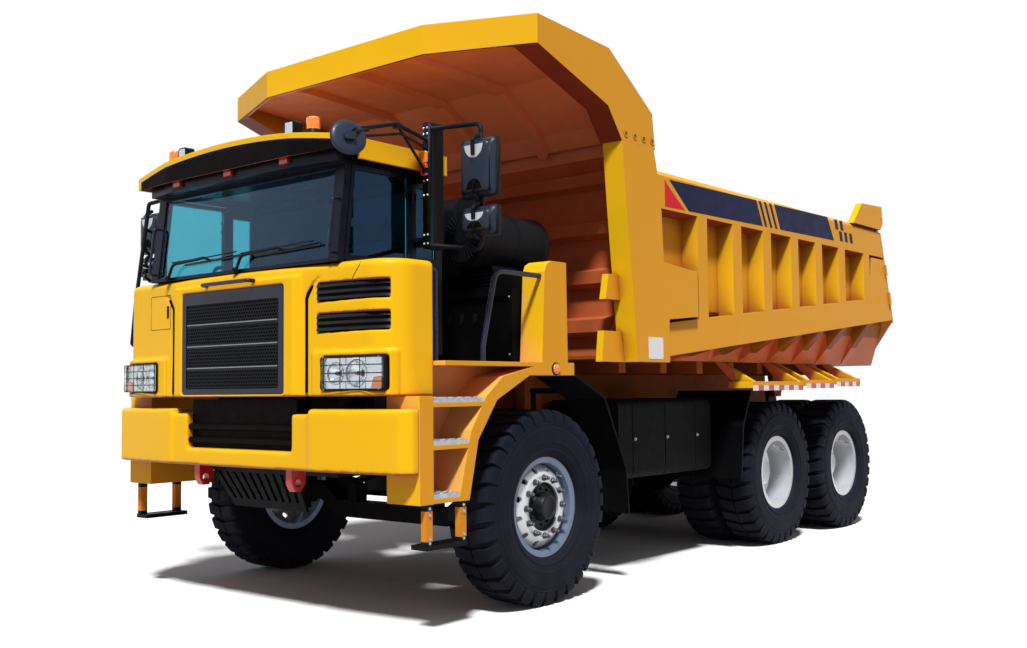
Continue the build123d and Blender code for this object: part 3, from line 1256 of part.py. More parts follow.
with BuildPart() as mirrors:
    # Left: a post at the cab's side carries two arms with the main and the near mirror.
    block(around(post_x, 29), post_y, (2470, 3330))
    for z in (2520, 2960):
        block((cab_half_width + seat_gap, post_x), (-840, -790), around(z, 30))
    tube([(post_x + 15, -815, 3290), (mirror_x, mirror_y, 3230), (mirror_x, mirror_y, 2410),
          (post_x + 15, -815, 2490)], 60, 16)
    for z, height in (big_head, small_head):
        mirror_head(mirror_x, mirror_y, z, height)
    # Round mirror that looks down over the bumper.
    tube([(post_x, -845, 3210), (1300, -1250, 3230), (1330, -1680, 3110)], 60, 14)
    with Locations(Plane(origin=(1300, -1700, 3060), z_dir=(0.35, 0.75, -0.55))):
        Cylinder(130, 30)
    # Right: one long rail from the roof to the panel's side carries both heads.
    rail_x = -panel_half_width - 50
    tube([(-roof_half_width - seat_gap, -1200, 3065), (-roof_half_width - 45, -1200, 3065),
          (rail_x, -1240, 3040),
          (rail_x - 10, -1340, 2260), (rail_x, -1378, 1900), (-panel_half_width - seat_gap, -1340, 1870)],
          22, 16)
    for z, height in ((2830, 330), (2540, 180)):
        rail_y = line_at(z, (-1340, 2260), (-1240, 3040))
        mirror_head(-mirror_x, -1070, z, height)
        bar((rail_x - 4, rail_y, z), (-mirror_x, -1080, z), 12)
save(mirrors.part, "mirrors")

# ---- Beacons, work lamps and markers ----------------------------------------------------
beacon_x = 785
lamp_x = 610
with BuildPart() as beacons:
    for sign in sides.values():
        with Locations((sign * beacon_x, -1500, 3250)):
            Cylinder(48, 130)
        with Locations((sign * beacon_x, -1500, 3215)):
            Cylinder(58, 60)
    extrude(roof_section(seat_gap), amount=roof_rear_y - roof_front_y, mode=Mode.SUBTRACT)
save(beacons.part, "beacons")

with BuildPart() as work_lamps:
    for sign in sides.values():
        with BuildSketch(Plane.XZ.offset(1490)) as lamp_face:
            with Locations((sign * lamp_x, 3250)):
                RectangleRounded(104, 112, 24)
        extrude(lamp_face.sketch, amount=70)
        block(around(sign * lamp_x, 16), (-1545, -1505), (3100, 3200))
    extrude(roof_section(seat_gap), amount=roof_rear_y - roof_front_y, mode=Mode.SUBTRACT)
save(work_lamps.part, "work_lamps")

with BuildPart() as markers:
    for x in (-lamp_x, 0, lamp_x):
        block(around(x, 40), (-1610, -1585 - seat_gap), (3010, 3050))
save(markers.part, "marker_lamps")
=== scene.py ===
"""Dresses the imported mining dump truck: paint, rubber, tyre tread, grille mesh, lamps and trim."""

import logging
import math
from collections.abc import Sequence
from dataclasses import dataclass, replace
from enum import Enum

import bmesh
import bpy
from mathutils import Matrix, Vector


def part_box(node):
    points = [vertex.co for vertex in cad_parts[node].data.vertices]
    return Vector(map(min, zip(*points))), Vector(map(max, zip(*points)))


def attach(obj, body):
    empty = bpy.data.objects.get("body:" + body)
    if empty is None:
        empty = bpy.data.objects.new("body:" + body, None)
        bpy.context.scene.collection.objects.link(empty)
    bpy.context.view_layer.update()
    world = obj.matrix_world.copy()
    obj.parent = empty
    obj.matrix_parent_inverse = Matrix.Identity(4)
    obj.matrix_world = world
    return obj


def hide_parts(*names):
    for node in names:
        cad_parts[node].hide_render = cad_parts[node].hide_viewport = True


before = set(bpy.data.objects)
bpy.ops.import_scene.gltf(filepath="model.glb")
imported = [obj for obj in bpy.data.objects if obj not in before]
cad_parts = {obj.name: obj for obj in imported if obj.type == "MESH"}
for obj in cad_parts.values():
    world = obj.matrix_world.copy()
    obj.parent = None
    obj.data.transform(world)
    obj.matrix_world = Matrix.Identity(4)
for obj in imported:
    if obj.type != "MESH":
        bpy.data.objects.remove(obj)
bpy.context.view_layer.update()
log = logging.getLogger("mining_truck")

Point = tuple[float, float, float]
Flat = tuple[float, float]
Tree = bpy.types.NodeTree
Socket = bpy.types.NodeSocket
ACROSS = Vector((1, 0, 0)).freeze()
UP = Vector((0, 0, 1)).freeze()


class Side(Enum):
    """Sides of the truck, each with the sign of its X."""

    LEFT = 1
    RIGHT = -1


SIDES = {side.name.lower(): side.value for side in Side}


def axle_centre() -> Vector:
    """Middle of the front axle line, from which lengths along the truck are measured."""
    low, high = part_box("front_tyre_left")
    return Vector((0.0, (low.y + high.y) / 2, (low.z + high.z) / 2))


AXLE = axle_centre()


def at(x: float, y: float, z: float) -> Vector:
    """Place a point.

    Args:
        x: Metres to the truck's left of its middle.
        y: Metres behind the front axle.
        z: Metres above the ground.

    Returns:
        The point in the row's frame.
    """
    return Vector((x, AXLE.y + y, z))


def meet(node: str, start: Vector, heading: Point) -> Vector:
    """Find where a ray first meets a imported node.

    Args:
        node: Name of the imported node.
        start: Where the ray starts.
        heading: Direction of the ray.

    Returns:
        The first point on the node's surface, or the start where the ray misses.
    """
    found, place, _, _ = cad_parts[node].ray_cast(start, Vector(heading).normalized())
    return place if found else start


# ---- Finishes ---------------------------------------------------------------------------


def linear(colour: str) -> tuple[float, float, float, float]:
    """Turn an sRGB hex colour such as "#F4B80F" into Blender's linear RGBA."""
    parts = [int(colour[i:i + 2], 16) / 255 for i in (1, 3, 5)]
    red, green, blue = (p / 12.92 if p <= 0.04045 else ((p + 0.055) / 1.055) ** 2.4 for p in parts)
    return red, green, blue, 1.0


def add_node(tree: Tree, kind: str, settings: dict[str, object] | None = None,
             inputs: dict[str | int, object] | None = None) -> bpy.types.Node:
    """Add a shader node, set its properties, and fill or link its inputs.

    Args:
        tree: Node tree that the node joins.
        kind: Blender's type name of the node.
        settings: Properties to set, by name.
        inputs: Input sockets by name or number; a socket as value is linked, anything else is set.

    Returns:
        The new node.
    """
    made = tree.nodes.new(kind)
    for name, value in (settings or {}).items():
        setattr(made, name, value)
    for name, value in (inputs or {}).items():
        if isinstance(value, Socket):
            tree.links.new(value, made.inputs[name])
        else:
            made.inputs[name].default_value = value
    return made


def maths(tree: Tree, operation: str, *values: Socket | float) -> Socket:
    """Add a sum on sockets or plain numbers and give its result."""
    return add_node(tree, "ShaderNodeMath", {"operation": operation}, dict(enumerate(values))).outputs[0]


def spread(tree: Tree, value: Socket, low: float, high: float, least: float = 0.0,
           most: float = 1.0) -> Socket:
    """Stretch what lies between two limits over a new range, held at its ends."""
    return add_node(tree, "ShaderNodeMapRange", inputs={
        "Value": value, "From Min": low, "From Max": high, "To Min": least, "To Max": most}).outputs[0]


def blend(tree: Tree, amount: Socket, under: object, over: object) -> Socket:
    """Mix two colours, each a socket or a value; only the second shows where the amount is 1."""
    return add_node(tree, "ShaderNodeMix", {"data_type": "RGBA"}, {0: amount, 6: under, 7: over}).outputs[2]


def axes(tree: Tree, value: Socket) -> bpy.types.NodeOutputs:
    """Split a vector into its X, Y and Z."""
    return add_node(tree, "ShaderNodeSeparateXYZ", inputs={0: value}).outputs


def watched(tree: Tree) -> Socket:
    """1 where a ray comes from the camera, through glass or off a mirror, and 0 for all other light."""
    path = add_node(tree, "ShaderNodeLightPath").outputs
    seen = maths(tree, "MAXIMUM", path["Is Camera Ray"], path["Is Transmission Ray"])
    return maths(tree, "MAXIMUM", seen, path["Is Glossy Ray"])


def empty_tree(owner: bpy.types.Material | bpy.types.World) -> Tree:
    """Give a material or a world a node tree with nothing in it."""
    owner.use_nodes = True
    owner.node_tree.nodes.clear()
    return owner.node_tree


def add_object(name: str, data: bpy.types.ID) -> bpy.types.Object:
    """Add an object to the scene."""
    made = bpy.data.objects.new(name, data)
    bpy.context.scene.collection.objects.link(made)
    return made


def applied(piece: bpy.types.Object) -> bpy.types.Mesh:
    """Mesh of a piece with its modifiers applied."""
    bpy.context.view_layer.update()
    return bpy.data.meshes.new_from_object(piece.evaluated_get(bpy.context.evaluated_depsgraph_get()))


# Noise values between which one tone of a finish turns into the other, and its sheen from low to high.
PATCH_EDGES = (0.35, 0.65)
GLOSS_EDGES = (0.3, 0.7)
# Size of the clouds in the dirt, in millimetres.
SPECKLE_MM = 120.0
# Facings (Z of the normal) and openness between which the painted shade thickens from none to all.
UNDER_SHADE_EDGES = (-0.12, -0.5)
RECESS_SHADE_EDGES = (0.82, 0.42)


@dataclass(frozen=True)
class Finish:
    """A surface finish: base values of its shader and the patterns that break them up.

    Sizes of patterns are in millimetres of the real surface.
    """

    name: str
    colour: str
    second: str
    roughness: float
    metallic: float = 0.0
    coat: float = 0.0
    patch_mm: float = 900.0
    patch_share: float = 0.5
    grain_mm: float = 6.0
    grain_depth_mm: float = 0.1
    rough_spread: float = 0.08
    dirt: str = "#8A7458"
    dirt_top_m: float = 0.0
    dirt_share: float = 0.0
    edge_mm: float = 0.0
    specular: float = 0.5
    ior: float = 1.5

    def build(self) -> bpy.types.Material:
        """Make the material, or return the one that is already made."""
        if self.name in bpy.data.materials:
            return bpy.data.materials[self.name]
        material = bpy.data.materials.new(self.name)
        tree = empty_tree(material)
        place = add_node(tree, "ShaderNodeTexCoord").outputs["Object"]
        values = {
            "Base Color": self.tint(tree, place),
            "Roughness": self.gloss(tree, place),
            "Normal": self.relief(tree, place),
            "Metallic": self.metallic,
            "Coat Weight": self.coat,
            "Specular IOR Level": self.specular,
        }
        if self.metallic < 0.5:
            values["IOR"] = self.ior
        values.update(self.extras())
        shader = add_node(tree, "ShaderNodeBsdfPrincipled", inputs=values)
        add_node(tree, "ShaderNodeOutputMaterial", inputs={"Surface": shader.outputs[0]})
        return material

    def extras(self) -> dict[str, object]:
        """Further shader values of a kind of finish."""
        return {"Coat Roughness": 0.06} if self.coat else {}

    def patches(self, tree: Tree, place: Socket, size_mm: float) -> Socket:
        """Soft cloudy pattern of a given patch size, from 0 to 1."""
        scale = 1000 / size_mm
        return add_node(tree, "ShaderNodeTexNoise", inputs={
            "Vector": place, "Scale": scale, "Detail": 4.0, "Roughness": 0.6}).outputs["Fac"]

    def tint(self, tree: Tree, place: Socket) -> Socket:
        """Base colour: the finish's two tones in soft patches, and dirt that thins out upwards."""
        patches = spread(tree, self.patches(tree, place, self.patch_mm), *PATCH_EDGES, most=self.patch_share)
        colour = blend(tree, patches, linear(self.colour), linear(self.second))
        if self.dirt_share:
            low = spread(tree, axes(tree, place)["Z"], self.dirt_top_m, 0.0)
            speckle = maths(tree, "MULTIPLY", low, self.patches(tree, place, SPECKLE_MM))
            amount = maths(tree, "MULTIPLY", speckle, self.dirt_share)
            colour = blend(tree, amount, colour, linear(self.dirt))
        return colour

    def gloss(self, tree: Tree, place: Socket) -> Socket:
        """Roughness that wanders a little over the surface."""
        return spread(tree, self.patches(tree, place, self.patch_mm / 4), *GLOSS_EDGES,
                      self.roughness - self.rough_spread, self.roughness + self.rough_spread)

    def relief(self, tree: Tree, place: Socket) -> Socket:
        """Normal with the fine grain, over edges that are rounded where the finish asks for it."""
        inputs = {"Height": self.patches(tree, place, self.grain_mm), "Strength": 1.0,
                  "Distance": self.grain_depth_mm / 1000}
        if self.edge_mm:
            inputs["Normal"] = add_node(tree, "ShaderNodeBevel", {"samples": 4}, {
                "Radius": self.edge_mm / 1000}).outputs[0]
        return add_node(tree, "ShaderNodeBump", inputs=inputs).outputs[0]


@dataclass(frozen=True)
class ClearFinish(Finish):
    """A see-through finish such as glass or a lamp lens."""

    transmission: float = 1.0
    reflection_tint: str = "#FFFFFF"

    def extras(self) -> dict[str, object]:
        """Lets light through and tints the reflection."""
        return {"Transmission Weight": self.transmission, "Specular Tint": linear(self.reflection_tint)}


@dataclass(frozen=True)
class PaintedShadeFinish(Finish):
    """Paint with painted shade on its flanks, its undersides, its recesses and the faces inside the load
    body.
    """

    # Tones of the painted shade: on sideways faces, on downward faces and in recesses, and inside the load
    # body.
    flank_shade: str = "#E29F29"
    under: str = "#A9552C"
    inner: str = "#E08058"
    inner_half_m: float = 0.0
    inner_front_m: float = -0.560
    nose_half_m: float = 0.887
    corner_back_m: float = 0.222
    covered_top: float = 0.35
    recess_m: float = 0.32
    recess_share: float = 0.9

    def tint(self, tree: Tree, place: Socket) -> Socket:
        """The paint's colour, with painted shade laid over it by the way each face looks and by where it is.
        """
        facing = axes(tree, add_node(tree, "ShaderNodeTexCoord").outputs["Normal"])
        spot = axes(tree, place)
        sideways = maths(tree, "ABSOLUTE", facing["X"])
        downward = spread(tree, facing["Z"], *UNDER_SHADE_EDGES)
        inside = maths(tree, "COMPARE", spot["X"], 0.0, self.inner_half_m)
        across = maths(tree, "ABSOLUTE", spot["X"])
        corner = spread(tree, across, self.nose_half_m, self.inner_half_m, most=self.corner_back_m)
        ahead = maths(tree, "SUBTRACT", spot["Y"], corner)
        behind = maths(tree, "GREATER_THAN", ahead, AXLE.y + self.inner_front_m)
        covered = maths(tree, "LESS_THAN", facing["Z"], self.covered_top)
        for other in (behind, covered):
            inside = maths(tree, "MULTIPLY", inside, other)
        # Ambient occlusion darkens the recesses with painted shade.
        openness = add_node(tree, "ShaderNodeAmbientOcclusion", {"samples": 6},
                            {"Distance": self.recess_m}).outputs["AO"]
        recess_shade = spread(tree, openness, *RECESS_SHADE_EDGES, most=self.recess_share)
        colour = super().tint(tree, place)
        for amount, tone in ((sideways, self.flank_shade), (recess_shade, self.under), (downward, self.under),
                             (inside, self.inner)):
            colour = blend(tree, amount, colour, linear(tone))
        return colour


@dataclass(frozen=True)
class BandFinish(Finish):
    """Two paints on one piece: the second paint between two heights."""

    band: str = "#D98E2A"
    band_low_m: float = 0.585
    band_high_m: float = 0.770

    def tint(self, tree: Tree, place: Socket) -> Socket:
        """The band's colour between its heights, the finish's own outside them."""
        outside = super().tint(tree, place)
        middle, half = (self.band_low_m + self.band_high_m) / 2, (self.band_high_m - self.band_low_m) / 2
        inside = maths(tree, "COMPARE", axes(tree, place)["Z"], middle, half)
        return blend(tree, inside, outside, linear(self.band))


@dataclass(frozen=True)
class GlowFinish(Finish):
    """A lens of coloured plastic that light goes through a little way."""

    depth_m: float = 0.01

    def extras(self) -> dict[str, object]:
        """Lets light into the plastic, which brightens its colour."""
        return {"Subsurface Weight": 0.4, "Subsurface Scale": self.depth_m, "Coat Weight": 0.6}


# Two-pack polyurethane gloss, sprayed on steel: rich yellow with a faint orange peel and soft clear
# highlights, and brown painted shade on its flanks, undersides and recesses.
CAB_YELLOW = PaintedShadeFinish("yellow_gloss_enamel", "#F6C112", "#F1B70E", 0.34, coat=0.03, specular=0.14,
                             grain_mm=9, grain_depth_mm=0.2, patch_mm=1400, dirt_top_m=1.5, dirt_share=0.15,
                             edge_mm=9, flank_shade="#F5BC14", under="#B5641F")
# The same enamel on the load body's plates, with brown painted shade on its flanks, undersides and
# recesses and on the faces inside the load body.
BODY_YELLOW = PaintedShadeFinish("dirt_and_shade_yellow_enamel", "#F4C31A", "#EFB917", 0.42, specular=0.1, grain_mm=9,
                              grain_depth_mm=0.25, patch_mm=1100, dirt_top_m=1.7, dirt_share=0.15, edge_mm=6,
                              inner_half_m=1.47, under="#843822")
# The same enamel on the body's sides, whose faces inside, chamfers too, take the brown painted shade.
SIDE_YELLOW = replace(BODY_YELLOW, name="load_side_enamel", covered_top=0.9)
# The same enamel on the wings and their upright, with a pale brown painted shade under the arch and in the
# step wells.
WING_YELLOW = replace(BODY_YELLOW, name="wing_yellow_enamel", patch_mm=700, dirt_top_m=1.3, inner_half_m=0.0,
                      under="#E89E6A")
# The same enamel on the floor's beams, darkened to brown: painted shade under the body.
BEAM_SHADE_BROWN = Finish("beam_shade_brown", "#A65C24", "#8C4A1E", 0.55, specular=0.08, grain_mm=6, grain_depth_mm=0.4,
                    patch_mm=400, patch_share=0.8, edge_mm=4)
# The enamel inside the load body, darkened to a duller red-brown than outside: painted shade under the
# canopy.
LINER_SHADE_BROWN = Finish("liner_shade_brown", "#EA8A62", "#D67A52", 0.5, specular=0.1, grain_mm=7, grain_depth_mm=0.3,
                     patch_mm=700, patch_share=0.8, edge_mm=4)
# The same enamel on the bulkhead, browner still: painted shade under the canopy.
BULKHEAD_SHADE_BROWN = Finish("bulkhead_shade_brown", "#BE6239", "#A9542F", 0.55, specular=0.08, grain_mm=6, grain_depth_mm=0.4,
                     patch_mm=500, patch_share=0.8, edge_mm=4)
# Acrylic gloss sprayed on the cab's pressings: near-black navy that picks up the sky.
CAB_NAVY = Finish("navy_gloss_enamel", "#0C0E20", "#0A0C1A", 0.32, coat=0.02, specular=0.12, grain_mm=8,
                  grain_depth_mm=0.2, edge_mm=4)
# Satin chassis enamel, brushed and sprayed: charcoal with a thin film of road dust low down.
CHASSIS_BLACK = Finish("black_satin_enamel", "#07080A", "#0C0D10", 0.55, specular=0.04, patch_mm=300,
                       grain_mm=5, grain_depth_mm=0.3, dirt="#3A332C", dirt_top_m=1.0, dirt_share=0.2,
                       edge_mm=3)
# Injection moulded polypropylene: dark grey with a fine spark-eroded grain that scatters the light.
MOULDED_BLACK = Finish("moulded_black", "#0D0F14", "#14171D", 0.48, specular=0.1, patch_mm=200, grain_mm=3,
                       grain_depth_mm=0.12, edge_mm=2)
# Gloss moulded ABS of the grille's surround and louvres: deep black-navy with clear highlights.
GLOSS_BLACK = Finish("gloss_black", "#0B0C13", "#10121B", 0.28, coat=0.02, specular=0.16, grain_mm=12,
                     grain_depth_mm=0.08, edge_mm=2)
# Carbon-filled natural rubber from a steel mould: matt black, tinted blue-grey as a painted sky reflection.
TYRE_RUBBER = Finish("moulded_natural_rubber", "#10131F", "#181C2B", 0.66, patch_mm=240, patch_share=0.8,
                     grain_mm=7, grain_depth_mm=0.5, dirt="#5E5B55", dirt_top_m=1.4, dirt_share=0.1,
                     specular=0.06)
# Cast hub iron under brushed-on primer: dark and rough beside the bright rim.
HUB_IRON = Finish("hub_iron", "#0D0E12", "#16181D", 0.42, metallic=0.2, specular=0.2, patch_mm=60, grain_mm=4,
                  grain_depth_mm=0.3)
# Galvanised steel sheet: pale zinc with the patches of its spangle.
ZINC_TREAD = Finish("zinc_tread", "#B9BDC2", "#9DA2A9", 0.42, metallic=0.7, patch_mm=40, patch_share=1.0,
                    grain_mm=10, grain_depth_mm=0.2)
# Zinc-plated bolts: small bright points with a faint blue cast.
ZINC_BOLT = Finish("zinc_bolt", "#A9AEB5", "#8D939B", 0.35, metallic=0.9, patch_mm=25, grain_mm=4)
# Red gloss enamel on the forged towing hooks.
HOOK_RED = Finish("red_gloss_enamel", "#C4161C", "#A81015", 0.36, coat=0.3, patch_mm=120, grain_mm=6,
                  grain_depth_mm=0.3, edge_mm=3)
# Grey machinery enamel on the cast engine block: dull, with the casting's sand texture.
ENGINE_GREY = Finish("engine_grey", "#22252A", "#1A1C20", 0.6, specular=0.3, metallic=0.2, patch_mm=120,
                     grain_mm=5, grain_depth_mm=0.5)
# Hard chrome, ground and polished, on the hoist's rods.
HOIST_CHROME = Finish("ground_hard_chrome", "#C9CDD2", "#B8BDC4", 0.12, metallic=1.0, patch_mm=300,
                      rough_spread=0.04, grain_mm=6, grain_depth_mm=0.02)
# Aluminium vapour coated on a moulded reflector: bright and almost mirror-like.
REFLECTOR = Finish("reflector", "#E4E8EC", "#D2D7DC", 0.12, metallic=1.0, patch_mm=60, rough_spread=0.05,
                   grain_mm=14, grain_depth_mm=0.6)
# Slush-moulded interior skin: soft dark grey grain.
CAB_TRIM = Finish("slush_moulded_skin", "#2A2A2E", "#333237", 0.7, patch_mm=200, grain_mm=4,
                  grain_depth_mm=0.2)
# Woven seat cloth of brown polyester: threads drawn 4 mm apart, coarser than real, so that they show.
SEAT_CLOTH = Finish("seat_cloth", "#4C4034", "#3A3129", 0.9, patch_mm=90, grain_mm=4, grain_depth_mm=0.6)
# Cast vinyl film: flat navy that lies on the paint with its own slight gloss.
DECAL_NAVY = Finish("decal_navy", "#151C3E", "#182044", 0.42, specular=0.06, patch_mm=500, grain_mm=10,
                    grain_depth_mm=0.1)
# Cast vinyl film in signal red.
DECAL_RED = Finish("decal_red", "#D91E2E", "#CB1A2A", 0.4, specular=0.1, patch_mm=500, grain_mm=10,
                   grain_depth_mm=0.1)
# Prismatic reflective tape, white and red: a fine honeycomb of cells, drawn 6 mm wide.
TAPE_WHITE = Finish("tape_white", "#E6E8EA", "#D2D6DA", 0.3, patch_mm=6, patch_share=1.0, coat=0.3)
TAPE_RED = replace(TAPE_WHITE, name="tape_red", colour="#C81E26", second="#A8161E")
# White enamelled aluminium of the bare plates.
PLATE_WHITE = Finish("plate_white", "#E9EBEC", "#DDE0E2", 0.4, patch_mm=70, grain_mm=8, grain_depth_mm=0.05)
# Silver screen-printed lines and pressed strips on the grille.
STRIP_SILVER = Finish("strip_silver", "#8E9299", "#7C8087", 0.35, metallic=0.6, patch_mm=60, grain_mm=5)
# Toughened sheet glass with a blue-green body tint: clear, its sharp reflections tinted blue, a painted
# reflection of a blue sky.
CAB_GLASS = ClearFinish("cab_glass", "#79CAD8", "#72C2D2", 0.02, rough_spread=0.01, patch_mm=700,
                        grain_mm=900, grain_depth_mm=0.02, reflection_tint="#4A86D8", specular=0.35)
# Moulded polycarbonate lens of the headlamps: clear, with vertical flutes drawn by its relief.
LAMP_LENS = ClearFinish("lamp_lens", "#F4F7F9", "#EAF0F4", 0.06, rough_spread=0.02, patch_mm=90, grain_mm=16,
                        grain_depth_mm=0.3, reflection_tint="#FFFFFF")
# Moulded acrylic in amber and red: deep colour that glows where light enters it.
AMBER_LENS = GlowFinish("amber_acrylic", "#F58A12", "#E97606", 0.2, patch_mm=30, grain_mm=8,
                        grain_depth_mm=0.6)
RED_LENS = replace(AMBER_LENS, name="red_acrylic", colour="#C8201A", second="#B01512")
# Silvered mirror glass.
MIRROR_GLASS = Finish("mirror_glass", "#D5DBE0", "#CCD3D9", 0.04, metallic=1.0, rough_spread=0.02,
                      grain_mm=300, grain_depth_mm=0.05)
# Two-pack silver sprayed on steel rims: metal flake that reads as soft pale grey.
RIM_SILVER = Finish("rim_silver", "#D2D6DA", "#C6CAD0", 0.3, metallic=0.4, coat=0.1, patch_mm=300,
                    patch_share=0.2, rough_spread=0.03, grain_mm=5, grain_depth_mm=0.15, dirt="#6D6A66",
                    dirt_top_m=1.2, dirt_share=0.12, edge_mm=2)
# Hanging steps: amber sprayed uprights clamped between black brackets and a black bar.
STEP_FRAME = BandFinish("step_frame", "#07080A", "#0D0E11", 0.5, specular=0.08, patch_mm=200, grain_mm=5)
# Blue-black moulded shells of the mirrors, with the mould's fine leather grain.
MIRROR_SHELL = Finish("mirror_shell", "#1D2636", "#263143", 0.38, coat=0.05, specular=0.2, patch_mm=160,
                      grain_mm=3, grain_depth_mm=0.1)
# Brown-black painted shade: the visor's undercut, the grille's backing, the gaps beside it and the mirrors'
# wells.
SHADE_BLACK = Finish("painted_shade_black", "#070405", "#0D0807", 0.6, specular=0.04, patch_mm=400, grain_mm=6)
# Navy stoved enamel on the bent handrails: smooth, with a long soft highlight.
RAIL_NAVY = Finish("rail_navy", "#191D33", "#1F2440", 0.3, coat=0.05, specular=0.25, patch_mm=200, grain_mm=6)
# Satin silver enamel on pressed trim: pale and almost white where the light falls.
SATIN_SILVER = Finish("satin_silver", "#C9D2DC", "#BAC4CF", 0.35, metallic=0.3, patch_mm=60, grain_mm=4)
# Silver lacquer in the rims' barrels, darker, bluer and duller than on the discs: painted shade.
RIM_BARREL_SHADE = Finish("rim_barrel_shaded_lacquer", "#64748C", "#7C8A9E", 0.36, metallic=0.4, patch_mm=200,
                    patch_share=0.3, grain_mm=5, dirt="#5B5A58", dirt_top_m=1.2, dirt_share=0.15)
# Phosphated wheel nuts: grey steel with bright worn corners.
NUT_STEEL = Finish("phosphated_nut_steel", "#565B63", "#6A7078", 0.32, metallic=0.6, patch_mm=20, grain_mm=4)
# Gloss moulded frame of the grille in the cab's navy.
FRAME_NAVY = Finish("navy_gloss_frame", "#10152C", "#141A36", 0.22, coat=0.08, specular=0.3, patch_mm=400,
                    grain_mm=12)
# Moulded mesh of the grille: charcoal walls whose lips catch the light.
MESH_GREY = Finish("moulded_mesh", "#0C0E13", "#14171D", 0.4, specular=0.12, patch_mm=120, grain_mm=3)

# ---- Shapes -----------------------------------------------------------------------------


